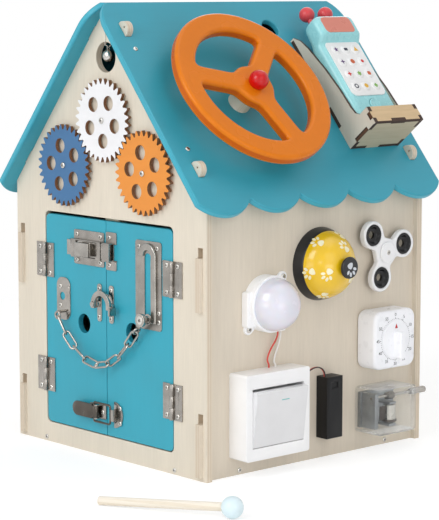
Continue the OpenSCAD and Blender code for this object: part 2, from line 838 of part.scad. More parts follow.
// Jamb leaves with the pins of all four hinges
module hinge_jamb_leaves() {
  color("darkgray")
    on_front()
      for (side = [-1, 1], z = hinge_zs) {
        leaf(side, z, [0, 2]);
        difference() {
          leaf_sheet(side, side, z, [0, 2]);
          for (p = jamb_screws(side))
            pilot(p[0], p[1], [-cut, sheet_t + cut]);
        }
        translate([side * hinge_x, z - hinge_h / 2, hinge_out])
          rotate([-90, 0, 0])
            cylinder(r = hinge_pin_r, h = hinge_h);
      }
}

// Door leaves with their screws
module door_leaves(side) {
  on_front() {
    for (z = hinge_zs) {
      leaf(side, z, [1]);
      leaf_sheet(side, -side, z, [1]);
    }
    for (p = hinge_screws(side))
      screw(p[0], p[1], sheet_t, screw_l);
  }
}

module hinge_leaves_left() { color("darkgray") door_leaves(-1); }

module hinge_leaves_right() { color("darkgray") door_leaves(1); }

// A door board; side is -1 for the left one
module door_board(side, span, screws) {
  low = door_height[0];
  high = door_height[1];
  r = door_corner_r;
  outer = side < 0 ? span[0] : span[1];
  on_front()
    difference() {
      union() {
        block(span, [low + r, high - r], [-ply, 0]);
        block(side < 0 ? [span[0] + r, span[1]] : [span[0], span[1] - r], [low, high], [-ply, 0]);
        for (z = [low + r, high - r])
          disc(outer - side * r, z, r, [-ply, 0]);
      }
      disc(side * finger_hole_x, finger_hole_z, finger_hole_d / 2, [-ply - cut, cut]);
      for (p = screws)
        pilot(p[0], p[1], [-screw_l, cut]);
    }
}

module door_left_board() {
  color("mediumturquoise")
    door_board(-1, door_left_span,
      concat(hinge_screws(-1), bolt_screws, clasp_left_screws, anchor_screws, latch_screws));
}

module door_right_board() {
  color("mediumturquoise")
    door_board(1, door_right_span,
      concat(hinge_screws(1), keeper_screws, clasp_right_screws, track_screws, strike_screws));
}

// Plate with the tunnel of the slide bolt
module bolt_plate() {
  rail_x = [bolt_plate_x - bolt_plate_l / 2 + 1, bolt_plate_x + bolt_plate_l / 2 - 0.2];
  color("silver")
    on_front() {
      plate(bolt_plate_x, bolt_z + 0.8, bolt_plate_l, bolt_plate_h, 2, [0, sheet_t]);
      for (j = [0, 1])
        translate([0, bolt_z, 0])
          mirror([0, j, 0])
            block(rail_x, [bolt_rail, bolt_rail + sheet_t], [sheet_t, bolt_roof[1]]);
      for (x = [rail_x[0], rail_x[1] - 8])
        block([x, x + 8], [bolt_z - bolt_rail, bolt_z + bolt_rail], bolt_roof);
      for (p = bolt_screws)
        screw(p[0], p[1], sheet_t, screw_l);
    }
}

module bolt_slide() {
  knob_x = bolt_end_x - 25;
  color("silver")
    on_front() {
      block([bolt_end_x - bolt_bar_l, bolt_end_x], [bolt_z - bolt_bar_h / 2, bolt_z + bolt_bar_h / 2],
        [bolt_bottom, bolt_top]);
      translate([knob_x, bolt_z + 7, bolt_top])
        rotate([90, 0, 0])
          linear_extrude(14)
            polygon([[-6, 0], [6, 0], [6, 1], [11, 5.6], [11, 6.7], [-11, 6.7], [-11, 5.6], [-6, 1]]);
    }
}

module bolt_keeper() {
  bridge = [door_right_span[0] + 0.8, keeper_x + 3];
  color("silver")
    on_front() {
      difference() {
        plate(keeper_x, bolt_z + 0.8, keeper_w, keeper_h, 2, [0, sheet_t]);
        block([bridge[1] + sheet_t, keeper_x + keeper_w / 2 + cut], [bolt_z - bolt_rail, bolt_z + bolt_rail],
          [-cut, sheet_t + cut]);
      }
      block(bridge, [bolt_z - bolt_rail - sheet_t, bolt_z + bolt_rail + sheet_t],
        [bolt_roof[0], bolt_roof[1] + 0.3]);
      for (z = [bolt_z - bolt_rail - sheet_t, bolt_z + bolt_rail])
        block(bridge, [z, z + sheet_t], [sheet_t, bolt_roof[0]]);
      for (p = keeper_screws)
        screw(p[0], p[1], sheet_t, screw_l);
    }
}

// One link lying along x, flat on its middle plane
module link() {
  for (end = [-1, 1])
    translate([end * (link_l / 2 - link_r), 0, 0])
      rotate([0, 0, end * 90 - 180])
        rotate_extrude(angle = 180) translate([link_r, 0]) circle(d = link_wire_d);
  for (y = [-1, 1])
    translate([link_r - link_l / 2, y * link_r, 0])
      rotate([0, 90, 0])
        cylinder(d = link_wire_d, h = link_l - 2 * link_r);
}

// Some links of the chain whose steps start from a place; the even ones lie flat
module links(first, last, start) {
  on_front()
    for (n = [first:last]) {
      place = start + (chain_step(n - 1) + chain_step(n)) / 2;
      translate([place[0], place[1], chain_out])
        rotate([0, 0, link_turns[n - 1]])
          rotate([n % 2 == 0 ? 0 : 90, 0, 0])
            link();
    }
}

// Plate on the left door that holds the start of the chain
module chain_anchor() {
  along = [cos(link_turns[0]), sin(link_turns[0])];
  eye = chain_start() + (link_wire_d / 2 + gap / 2 - link_r) * along;
  post = eye - link_r * along;
  color("silver")
    on_front() {
      plate(anchor_place[0], anchor_place[1], anchor_w, anchor_h, 9, [0, sheet_t]);
      block([anchor_place[0] + anchor_w / 2 - 5, anchor_place[0] + anchor_w / 2],
        [anchor_place[1] - anchor_h / 2 + 9, anchor_place[1] + anchor_h / 2 - 9], [sheet_t, 2.4]);
      disc(post[0], post[1], 1.6, [sheet_t, chain_out]);
      translate([eye[0], eye[1], chain_out])
        rotate_extrude() translate([link_r, 0]) circle(d = link_wire_d);
      for (p = anchor_screws)
        screw(p[0], p[1], sheet_t, screw_l);
    }
}

// The chain on the left door, up to the joint next to the seam
module chain_left() { color("silver") links(1, chain_left_links, chain_start()); }

// Slotted track on the right door
module chain_track() {
  box = [track_z - track_h / 2 + 3, track_z + track_h / 2 - 8];
  color("silver")
    on_front() {
      difference() {
        union() {
          plate(track_x, track_z, track_w, track_h, 3, [0, sheet_t]);
          block([track_x - track_box_w / 2, track_x + track_box_w / 2], box,
            [sheet_t, track_box_out]);
        }
        block([track_x - track_box_w / 2 + sheet_t, track_x + track_box_w / 2 - sheet_t],
          [box[0] + sheet_t, box[1] - sheet_t], [sheet_t, track_box_out - sheet_t]);
        block([track_x - slot_w / 2, track_x + slot_w / 2], [slot_start_z, slot_end_z],
          [sheet_t, track_box_out + cut]);
        disc(track_x, slot_start_z, slot_w / 2, [sheet_t, track_box_out + cut]);
        disc(track_x, slot_end_z, keyhole_d / 2, [sheet_t, track_box_out + cut]);
      }
      for (p = track_screws)
        screw(p[0], p[1], sheet_t, screw_l);
    }
}

module chain_slider() {
  color("silver")
    on_front() {
      disc(track_x, slider_z, keyhole_d / 2 - 0.5, [sheet_t + gap, track_box_out - sheet_t - gap]);
      disc(track_x, slider_z, slider_stem_r, [sheet_t + gap, tab_faces[1] + gap]);
      disc(track_x, slider_z, slider_stem_r + 3.3, [tab_faces[1] + gap, tab_faces[1] + gap + 3.2]);
    }
}

// Tab on the slider's stem, and the chain that hangs on it
module chain_right() {
  away = [cos(tab_turn), sin(tab_turn)];
  eye = chain_end + (link_r - link_wire_d / 2 - gap / 2) * away;
  color("silver") {
    on_front() {
      ring(track_x, slider_z, slider_stem_r + 2.5, slider_stem_r + bore_play, tab_faces);
      translate([track_x, slider_z, tab_faces[0]])
        rotate([0, 0, tab_turn + 180])
          block([slider_stem_r + 1.5, tab_end], [-2.5, 2.5],
            [0, tab_faces[1] - tab_faces[0]]);
      translate([eye[0], eye[1], chain_out])
        rotate([0, 0, tab_turn])
          rotate([90, 0, 0])
            rotate_extrude() translate([link_r, 0]) circle(d = link_wire_d);
    }
    links(chain_left_links + 1, len(link_turns), chain_start() + chain_split);
  }
}

module clasp_plate_left() {
  pivot_x = clasp_x - clasp_r;
  color("silver")
    on_front() {
      plate(clasp_left_x, clasp_z, 7, clasp_plate_h, 3, [0, sheet_t]);
      disc(pivot_x, clasp_arm_z, 4, [0, clasp_out[0] - gap]);
      disc(pivot_x, clasp_arm_z, clasp_pin_r, [0, clasp_out[1] + gap]);
      disc(pivot_x, clasp_arm_z, clasp_pin_r + 1.2, [clasp_out[1] + gap, clasp_out[1] + gap + 1]);
      for (p = clasp_left_screws)
        screw(p[0], p[1], sheet_t, screw_l);
    }
}

// Arch that swings up off its seat on the right plate
module clasp_arm() {
  outer = clasp_r + clasp_bar / 2;
  inner = clasp_r - clasp_bar / 2;
  color("silver")
    on_front()
      difference() {
        union() {
          translate([clasp_x, clasp_arm_z, clasp_out[0]])
            linear_extrude(clasp_out[1] - clasp_out[0])
              difference() {
                union() {
                  intersection() {
                    circle(outer);
                    translate([-outer, 0]) square([2 * outer, outer]);
                  }
                  translate([-outer, -4]) square([2 * outer, 4]);
                }
                circle(inner);
                translate([-inner, -5]) square([2 * inner, 5]);
              }
          block([clasp_x + outer - 1, clasp_x + outer + 8.5], [clasp_arm_z - 8, clasp_arm_z],
            [clasp_out[0] + 1, clasp_out[1]]);
          block([clasp_x + outer + 6, clasp_x + outer + 8.5], [clasp_arm_z - 8, clasp_arm_z],
            [clasp_out[0] + 1, 14]);
        }
        disc(clasp_x - clasp_r, clasp_arm_z, clasp_pin_r + bore_play,
          [clasp_out[0] - cut, clasp_out[1] + cut]);
      }
}

module clasp_plate_right() {
  color("silver")
    on_front() {
      plate(clasp_right_x, clasp_z, 7.5, clasp_plate_h, 3, [0, sheet_t]);
      disc(clasp_x + clasp_r, clasp_arm_z, 3.2, [0, clasp_out[0] - gap]);
      for (p = clasp_right_screws)
        screw(p[0], p[1], sheet_t, screw_l);
    }
}

// Base of the draw latch: two lugs and the lever's pin
module latch_base() {
  lug = [lever_h / 2 - 1.3, lever_h / 2];
  color("silver")
    on_front() {
      plate(latch_x - 2.5, latch_z, 26, lever_h, 1.5, [0, sheet_t]);
      for (j = [0, 1])
        translate([latch_x, latch_z, 0])
          mirror([0, j, 0]) {
            block([-latch_lug_r, latch_lug_r], lug, [sheet_t, latch_out]);
            translate([0, lug[0], latch_out])
              rotate([-90, 0, 0]) cylinder(r = latch_lug_r, h = lug[1] - lug[0]);
          }
      rod([latch_x, latch_z - lug[1], latch_out], [latch_x, latch_z + lug[1], latch_out], latch_pin_r);
      for (p = latch_screws)
        screw(p[0], p[1], sheet_t, screw_l);
    }
}

// Lever with two barrels: one on the base's pin, one for the wire loop
module latch_lever() {
  barrel = lever_h / 2 - 1.3 - gap;
  plate_x = [latch_x - 3 - lever_l, latch_x - 3];
  color("silver")
    on_front()
      translate([0, latch_z, 0])
        difference() {
          union() {
            block([plate_x[0] + lever_h / 2, latch_x - latch_crank - loop_r - gap],
              [-lever_h / 2, lever_h / 2], [latch_out + 0.5, latch_out + 2]);
            block([plate_x[0] + lever_h / 2, plate_x[1]], [-barrel, barrel],
              [latch_out + 0.5, latch_out + 2]);
            intersection() {
              disc(plate_x[0] + lever_h / 2, 0, lever_h / 2, [latch_out + 0.5, latch_out + 2]);
              block([plate_x[0], plate_x[0] + lever_h / 2], [-lever_h / 2, lever_h / 2],
                [latch_out, latch_out + 3]);
            }
            rod([latch_x, -barrel, latch_out], [latch_x, barrel, latch_out], 2);
            rod([latch_x - latch_crank, -barrel, latch_out],
              [latch_x - latch_crank, barrel, latch_out], 2);
          }
          rod([latch_x, -barrel - cut, latch_out], [latch_x, barrel + cut, latch_out],
            latch_pin_r + bore_play);
          for (j = [-1, 1])
            rod([latch_x - latch_crank, j * (barrel - 3), latch_out],
              [latch_x - latch_crank, j * (barrel + cut), latch_out], loop_r + bore_play);
        }
}

// Wire loop that the lever draws over the strike
module latch_loop() {
  barrel = lever_h / 2 - 1.3 - gap;
  tail_x = latch_x - latch_crank;
  color("silver")
    on_front()
      translate([0, latch_z, latch_out]) {
        for (j = [-1, 1]) {
          rod([tail_x, j * (barrel - 2.5), 0], [tail_x, j * loop_leg, 0], loop_r);
          rod([tail_x, j * loop_leg, 0], [loop_end_x, j * loop_leg, 0], loop_r);
          translate([tail_x, j * loop_leg, 0]) sphere(loop_r);
          translate([loop_end_x, j * loop_leg, 0]) sphere(loop_r);
        }
        rod([loop_end_x, -loop_leg, 0], [loop_end_x, loop_leg, 0], loop_r);
      }
}

// Half-moon plate on the right door with the hook that the loop catches
module latch_strike() {
  color("silver")
    on_front() {
      intersection() {
        disc(strike_x - 0.6, latch_z, 13.5, [0, sheet_t]);
        block([strike_x - 0.6, strike_x + 14], [latch_z - 14, latch_z + 14], [0, sheet_t]);
      }
      block([strike_x, strike_x + sheet_t], [latch_z - 6, latch_z + 6], [0, 6.4]);
      block([strike_x, strike_x + 4.5], [latch_z - 6, latch_z + 6], [6.4 - sheet_t, 6.4]);
      for (p = strike_screws)
        screw(p[0], p[1], sheet_t, screw_l);
    }
}

// A point at a radius, stepped sideways from a direction
function tooth_point(turn, r, w) = [r * cos(turn) - w * sin(turn), r * sin(turn) + w * cos(turn)];

// Outline of a gear: straight flanks through the pitch circle
function gear_points(phase) = [
  for (i = [0:gear_teeth - 1])
    let (turn = phase + i * tooth_pitch)
      each [
        tooth_point(turn, gear_root_r, -tooth_root_w / 2),
        tooth_point(turn, gear_pitch_r, -tooth_pitch_w / 2),
        tooth_point(turn, gear_tip_r, -tooth_tip_w / 2),
        tooth_point(turn, gear_tip_r, tooth_tip_w / 2),
        tooth_point(turn, gear_pitch_r, tooth_pitch_w / 2),
        tooth_point(turn, gear_root_r, tooth_root_w / 2)
      ]
];

module gear(x, z, phase, hole_turn) {
  on_front()
    translate([x, z, gear_faces[0]])
      linear_extrude(gear_t)
        difference() {
          polygon(gear_points(phase));
          circle(gear_axle_r + bore_play);
          for (k = [0:4])
            rotate(hole_turn + 72 * k) translate([gear_hole_ring, 0]) circle(d = gear_hole_d);
        }
}

module gear_white() { color("white") gear(0, gear_top_z, white_phase, -13); }

module gear_blue() { color("steelblue") gear(-gear_side_x, gear_side_z, blue_phase, 33); }

module gear_orange() { color("sandybrown") gear(gear_side_x, gear_side_z, orange_phase, 27.5); }

// Round bell with its ring, on an elastic loop round the wood bridge
module jingle_bell() {
  front = elastic_d / 2 + 0.5;
  back = -ply - elastic_d / 2 - 0.5;
  middle = -ply / 2;
  color("silver")
    on_front() {
      difference() {
        translate([0, jingle_z, middle]) sphere(jingle_d / 2);
        block([-0.5, 0.5], [jingle_z - jingle_d, jingle_z - 1], [middle - jingle_d, middle + jingle_d]);
      }
      rod([0, jingle_z + jingle_d / 2 - 1, middle], [0, shackle_z + 1, middle], 0.8);
    }
  color("white")
    on_front() {
      rod([0, loop_hole_z, back], [0, loop_hole_z, front], elastic_d / 2);
      for (w = [front, back]) {
        translate([0, loop_hole_z, w]) sphere(elastic_d / 2);
        rod([0, loop_hole_z, w], [0, elastic_low_z, w], elastic_d / 2);
        translate([0, elastic_low_z, w]) sphere(elastic_d / 2);
        rod([0, elastic_low_z, w], [0, shackle_z, middle], elastic_d / 2);
      }
    }
}

module wheel_boss() {
  color("burlywood")
    on_roof() {
      disc(wheel_y, wheel_s, wheel_boss_r, [0, wheel_boss_h]);
      disc(wheel_y, wheel_s, wheel_axle_r, [-roof_t, wheel_faces[1] - 0.5]);
    }
}

module steering_wheel() {
  edge_r = 4;
  color("darkorange")
    on_roof()
      translate([wheel_y, wheel_s, wheel_faces[0]])
        difference() {
          union() {
            rotate_extrude()
              translate([wheel_r - wheel_rim_w / 2, wheel_t / 2])
                rounded(wheel_rim_w, wheel_t, edge_r);
            cylinder(r = wheel_hub_r, h = wheel_t);
            for (turn = wheel_spoke_turns)
              rotate([0, 0, turn])
                block([0, wheel_r - wheel_rim_w + edge_r], [-wheel_spoke_w / 2, wheel_spoke_w / 2],
                  [1, wheel_t - 1]);
          }
          translate([0, 0, -cut]) cylinder(r = wheel_axle_r + bore_play, h = wheel_t + 2 * cut);
        }
}

// Ball glued on the hub
module wheel_ball() {
  r = wheel_ball_d / 2;
  color("red")
    on_roof()
      intersection() {
        translate([wheel_y, wheel_s, wheel_faces[1] + 0.6 * r]) sphere(r);
        disc(wheel_y, wheel_s, r + cut, [wheel_faces[1], wheel_faces[1] + 2 * r]);
      }
}

// Side outline of a holder cheek: up the slope, and height
module cheek_outline() {
  translate([holder_s, 0])
    polygon([[0, 0], [0, holder_lip_h], [holder_lip_l, holder_lip_h], [holder_lip_l, 0.72 * holder_lip_h],
      [0.175 * cheek_l, 0.62 * holder_lip_h], [0.235 * cheek_l, 0.585 * holder_lip_h],
      [0.41 * cheek_l, 0.555 * holder_lip_h], [0.62 * cheek_l, 0.475 * holder_lip_h],
      [0.85 * cheek_l, 0.34 * holder_lip_h], [0.94 * cheek_l, 0.25 * holder_lip_h],
      [cheek_l, 0.12 * holder_lip_h], [cheek_l, 0]]);
}

module holder_cheeks() {
  color("navajowhite")
    on_roof()
      for (y = [holder_y - holder_w / 2, holder_y + holder_w / 2 - holder_t])
        difference() {
          translate([y, 0, 0])
            rotate([90, 0, 90])
              linear_extrude(holder_t) cheek_outline();
          block([y - cut, y + holder_t + cut], [holder_s - cut, holder_s + holder_t], floor_tab);
          block([y - cut, y + holder_t + cut], lip_tab,
            [holder_lip_h - holder_t, holder_lip_h + cut]);
        }
}

// Floor, lip and back strip, with finger tabs through the cheeks
module holder_boards() {
  inner = [holder_y - holder_w / 2 + holder_t, holder_y + holder_w / 2 - holder_t];
  outer = [holder_y - holder_w / 2, holder_y + holder_w / 2];
  color("burlywood")
    on_roof() {
      block(inner, [holder_s, holder_s + holder_t], [0, holder_lip_h - holder_t]);
      block(outer, [holder_s, holder_s + holder_t], floor_tab);
      block(inner, [holder_s, holder_s + holder_lip_l], [holder_lip_h - holder_t, holder_lip_h]);
      block(outer, lip_tab, [holder_lip_h - holder_t, holder_lip_h]);
      block(inner, [holder_s + holder_t, holder_s + 0.79 * cheek_l], [0, holder_t]);
    }
}

// Side outline of the phone: up the slope, and height
module phone_side() {
  polygon([[phone_s, phone_back_h + 3], [phone_s + 3, phone_back_h], [phone_s + 0.55 * phone_l, phone_back_h],
    [phone_top - 24, phone_back_h + 8], [phone_top - 8, phone_back_h + 9.5], [phone_top, phone_back_h + 16],
    [phone_top, phone_head_h - 4], [phone_top - 4, phone_head_h], [phone_top - 24, phone_head_h + 0.5],
    [phone_top - 29, phone_face_h], [phone_s + 3, phone_face_h], [phone_s, phone_face_h - 3]]);
}

module phone_shell() {
  color("paleturquoise")
    on_roof() {
      difference() {
        intersection() {
          translate([holder_y - phone_w / 2, 0, 0])
            rotate([90, 0, 90])
              linear_extrude(phone_w) phone_side();
          plate(holder_y, phone_s + phone_l / 2, phone_w, phone_l, phone_corner_r,
            [0, phone_head_h + 2]);
        }
        disc(holder_y, button_s, button_r + gap, [phone_face_h - 3, phone_face_h + 3]);
      }
      for (y = [-13.7, 13.7]) {
        rod([holder_y + y, phone_top - 1, 20], [holder_y + y, phone_top + 9, 20], 3);
        translate([holder_y + y, phone_top + 15, 19]) sphere(8.3);
      }
    }
}

// Keypad membrane with its moulded keys
module phone_keypad() {
  color("whitesmoke")
    on_roof() {
      plate(holder_y, keypad_s, keypad_w, keypad_l, 7, [phone_face_h, phone_face_h + 1]);
      for (i = [-1, 0, 1], j = [-1.5, -0.5, 0.5, 1.5])
        disc(holder_y + 14.5 * i, keypad_s + 16 * j, 5.4, [phone_face_h + 1, phone_face_h + 2.2]);
    }
}

module phone_button() {
  color("tomato")
    on_roof()
      disc(holder_y, button_s, button_r, [phone_face_h - 1.8, phone_face_h + 1.6]);
}

module lamp_base() {
  color("white")
    on_wall() {
      disc(lamp_y, lamp_z, lamp_base_r, [0, lamp_base_h]);
      for (turn = lamp_ear_turns)
        translate([lamp_y, lamp_z, 0])
          rotate([0, 0, turn]) {
            disc(lamp_ear_reach, 0, 5.5, [0, 3]);
            disc(lamp_ear_reach, 0, 3.2, [3, 4.6]);
            block([lamp_base_r - 2, lamp_ear_reach], [-5.5, 5.5], [0, 3]);
          }
      block([lamp_y - lamp_base_r - 2, lamp_y - lamp_base_r + 12], [lamp_z - 22, lamp_z + 14], [0, 9]);
      block([gland_y - 6, gland_y + 6], [gland_z, gland_z + 12], [2, 10]);
      disc(lamp_y, lamp_z, 8, [lamp_base_h, lamp_base_h + 2.5]);
    }
}

module lamp_dome() {
  color("aliceblue")
    on_wall()
      intersection() {
        difference() {
          translate([lamp_y, lamp_z, lamp_base_h]) sphere(lamp_dome_r);
          translate([lamp_y, lamp_z, lamp_base_h]) sphere(lamp_dome_r - 1.5);
        }
        disc(lamp_y, lamp_z, lamp_dome_r + cut, [lamp_base_h, lamp_base_h + lamp_dome_r + cut]);
      }
}

// Base plate of the desk bell, with the post that guides the plunger
module bell_base() {
  color("dimgray")
    on_wall()
      difference() {
        union() {
          translate([bell_y, bell_z, 0])
            cylinder(r1 = bell_base_r, r2 = bell_rim_r, h = bell_base_h);
          disc(bell_y, bell_z, bell_post_r, [0, bell_top - 8]);
        }
        disc(bell_y, bell_z, bell_plunger_r + bore_play, [bell_base_h, bell_top]);
      }
}

module bell_dome() {
  color("gold")
    on_wall()
      difference() {
        intersection() {
          difference() {
            translate([bell_y, bell_z, bell_dome_up]) sphere(bell_dome_r);
            translate([bell_y, bell_z, bell_dome_up]) sphere(bell_dome_r - 1.2);
          }
          disc(bell_y, bell_z, bell_dome_r + cut, [bell_base_h, bell_top + cut]);
        }
        disc(bell_y, bell_z, bell_plunger_r + 1, [bell_base_h, bell_top + cut]);
      }
}

module bell_button() {
  color("black")
    on_wall() {
      disc(bell_y, bell_z, bell_plunger_r, [bell_top - 16, bell_top + 3.5]);
      disc(bell_y, bell_z, 11, [bell_top + 3, bell_top + 7]);
    }
}

module spinner_hub() {
  color("white")
    on_wall() {
      disc(spinner_y, spinner_z, 7, [0, spinner_faces[0] - gap]);
      disc(spinner_y, spinner_z, spinner_post_r, [0, spinner_faces[1] + gap]);
      disc(spinner_y, spinner_z, 11, [spinner_faces[1] + gap, spinner_faces[1] + gap + 2.2]);
      disc(spinner_y, spinner_z, screw_head_r,
        [spinner_faces[1] + gap + 2.2, spinner_faces[1] + gap + 2.8]);
    }
}

module spinner_rotor() {
  color("white")
    on_wall()
      translate([spinner_y, spinner_z, spinner_faces[0]])
        linear_extrude(spinner_t)
          difference() {
            union() {
              circle(spinner_lobe_r);
              for (turn = [15, 135, 255])
                rotate(turn) {
                  translate([0, -9]) square([spinner_reach, 18]);
                  translate([spinner_reach, 0]) circle(spinner_lobe_r);
                }
            }
            circle(spinner_post_r + bore_play);
            for (turn = [15, 135, 255])
              rotate(turn) translate([spinner_reach, 0]) circle(4);
          }
}

module timer_case() {
  color("whitesmoke")
    on_wall()
      difference() {
        plate(timer_y, timer_z, timer_side, timer_side, 10, [0, timer_d]);
        disc(timer_y, timer_z, timer_shaft_r + bore_play, [timer_d - timer_shaft_l - 1, timer_d + cut]);
      }
}

module timer_knob() {
  color("white")
    on_wall() {
      disc(timer_y, timer_z, timer_shaft_r, [timer_d - timer_shaft_l, timer_d + 1]);
      disc(timer_y, timer_z, timer_knob_r, [timer_d + gap, timer_d + 1.4]);
      block([timer_y - 4, timer_y + 4], [timer_z - timer_knob_r, timer_z + 0.42 * timer_knob_r],
        [timer_d + 1, timer_d + 11.4]);
    }
}

// Clear case, open towards the wall
module music_case() {
  middle_z = music_z + music_h / 2;
  color("aliceblue")
    on_wall()
      difference() {
        plate(music_y, middle_z, music_w, music_h, 5, [0, music_d]);
        plate(music_y, middle_z, music_w - 2 * music_wall, music_h - 2 * music_wall, 5 - music_wall,
          [-cut, music_d - music_wall]);
        rod([music_right - music_wall - cut, crank_z, crank_out], [music_right + cut, crank_z, crank_out],
          crank_r + bore_play);
      }
}

// Zinc frame that carries the comb, the cylinder and the crank
module music_movement() {
  left = music_left + 4;
  low = music_z + 5;
  color("gray")
    on_wall()
      difference() {
        union() {
          block([left, music_right - 4], [low, crank_z + 5], [0, 4]);
          block([left + 2, left + 7], [low, crank_z + 5], [4, crank_out + 6]);
          block([drum_y - 5, drum_y + 5], [low, low + 3], [4, crank_out + 5]);
          block([drum_y - 5, drum_y + 5], [drum_z[1] + 1, drum_z[1] + 3], [4, crank_out + 5]);
          block([left + 7, drum_y - drum_r - 0.6], [drum_z[0], drum_z[1]], [crank_out - 1, crank_out + 1]);
        }
        rod([left + 1, crank_z, crank_out], [left + 8, crank_z, crank_out], crank_r + bore_play);
        rod([drum_y, low - cut, crank_out], [drum_y, drum_z[1] + 4, crank_out], spindle_r + bore_play);
      }
}

module music_cylinder() {
  color("gainsboro")
    on_wall() {
      rod([drum_y, music_z + 5, crank_out], [drum_y, drum_z[1] + 3, crank_out], spindle_r);
      rod([drum_y, drum_z[0], crank_out], [drum_y, drum_z[1], crank_out], drum_r);
      rod([drum_y, drum_z[0] - 2, crank_out], [drum_y, drum_z[0], crank_out], drum_r + 1.5);
    }
}

// Crank shaft with its worm inside and its grip outside
module music_crank() {
  color("silver")
    on_wall() {
      rod([music_left + 6.5, crank_z, crank_out], [music_right + crank_neck, crank_z, crank_out], crank_r);
      rod([drum_y - 5, crank_z, crank_out], [drum_y + 5, crank_z, crank_out], 4);
      rod([music_right + crank_neck, crank_z, crank_out], [music_right + crank_neck + crank_grip, crank_z, crank_out], 3.5);
    }
}

module switch_box() {
  middle = [switch_y + switch_side / 2, switch_z + switch_side / 2];
  color("whitesmoke")
    on_wall()
      difference() {
        plate(middle[0], middle[1], switch_side, switch_side, 3, [0, switch_d]);
        block([rocker_y - rocker_w / 2 - gap, rocker_y + rocker_w / 2 + gap],
          [rocker_z - rocker_h / 2 - 1.6, rocker_z + rocker_h / 2 + 1.6], [switch_wall, switch_d + cut]);
        rod([rocker_y - rocker_w / 2 - 3, rocker_z, rocker_pivot],
          [rocker_y + rocker_w / 2 + 3, rocker_z, rocker_pivot], 2 + bore_play);
      }
}

// Rocker, resting with its upper half pressed out
module switch_rocker() {
  color("white")
    on_wall()
      translate([rocker_y, rocker_z, rocker_pivot])
        rotate([rocker_tilt, 0, 0]) {
          block([-rocker_w / 2, rocker_w / 2], [-rocker_h / 2, rocker_h / 2], [2.5, 9]);
          rod([-rocker_w / 2 - 2.5, 0, 0], [rocker_w / 2 + 2.5, 0, 0], 2);
          block([-rocker_w / 2, rocker_w / 2], [-1.5, 1.5], [0, 3]);
        }
}

module battery_box() {
  color("black")
    on_wall()
      difference() {
        block([battery_y, battery_y + battery_w], [battery_z, battery_z + battery_h], [0, battery_d]);
        block([battery_y + 7, battery_y + battery_w - 7],
          [battery_z + battery_h - 12, battery_z + battery_h - 6], [battery_d - 1.5, battery_d + cut]);
      }
}

// A closed tube along hand-set points, each given back from the middle, up, and out of the wall
module tube(points, d) {
  sides = 8;
  n = len(points);
  function toward(i) = points[min(i + 1, n - 1)] - points[max(i - 1, 0)];
  function across(i) = cross(toward(i), [0, 0, 1]) / norm(cross(toward(i), [0, 0, 1]));
  function over(i) = cross(across(i), toward(i)) / norm(cross(across(i), toward(i)));
  rings = [for (i = [0:n - 1], k = [0:sides - 1])
    points[i] + d / 2 * (cos(360 * k / sides) * across(i) + sin(360 * k / sides) * over(i))];
  walls = [for (i = [0:n - 2], k = [0:sides - 1])
    [i * sides + k, i * sides + (k + 1) % sides, (i + 1) * sides + (k + 1) % sides, (i + 1) * sides + k]];
  ends = [[for (k = [sides - 1:-1:0]) k], [for (k = [0:sides - 1]) (n - 1) * sides + k]];
  on_wall() polyhedron(points = rings, faces = concat(walls, ends));
}

module lamp_wires() {
  color("red") tube(red_wire, wire_d);
  color("white") tube(white_wire, wire_d);
}

module battery_lead() { color("dimgray") tube(lead, lead_d); }

// Mallet lying on the floor, its stick resting on its far end
module mallet() {
  ball = [mallet_head[0], mallet_head[1], mallet_ball_d / 2];
  color("burlywood") {
    translate(ball) sphere(mallet_ball_d / 2);
    rod([mallet_tail[0], mallet_tail[1], mallet_stick_d / 2 + 0.2], ball, mallet_stick_d / 2);
  }
}

front_gable();
back_gable();
right_wall();
left_wall();
base_board();
roof_right();
roof_left();
house_screws();
door_stop();
hinge_jamb_leaves();
jingle_bell();
door_left_board();
door_right_board();
hinge_leaves_left();
hinge_leaves_right();
bolt_plate();
bolt_slide();
bolt_keeper();
chain_anchor();
chain_left();
chain_track();
chain_slider();
chain_right();
clasp_plate_left();
clasp_arm();
clasp_plate_right();
latch_base();
latch_lever();
latch_loop();
latch_strike();
gear_white();
gear_blue();
gear_orange();
wheel_boss();
steering_wheel();
wheel_ball();
holder_cheeks();
holder_boards();
phone_shell();
phone_keypad();
phone_button();
lamp_base();
lamp_dome();
bell_base();
bell_dome();
bell_button();
spinner_hub();
spinner_rotor();
timer_case();
timer_knob();
music_case();
music_movement();
music_cylinder();
music_crank();
switch_box();
switch_rocker();
battery_box();
lamp_wires();
battery_lead();
mallet();
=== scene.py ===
"""A house-shaped wooden busy board with gears, latches, a steering wheel, a toy phone and wall gadgets.
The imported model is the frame; every piece below is made in the same frame, in metres."""

import json
import math
import random

import bmesh
import bpy
from mathutils import Matrix, Vector
from mathutils.geometry import tessellate_polygon

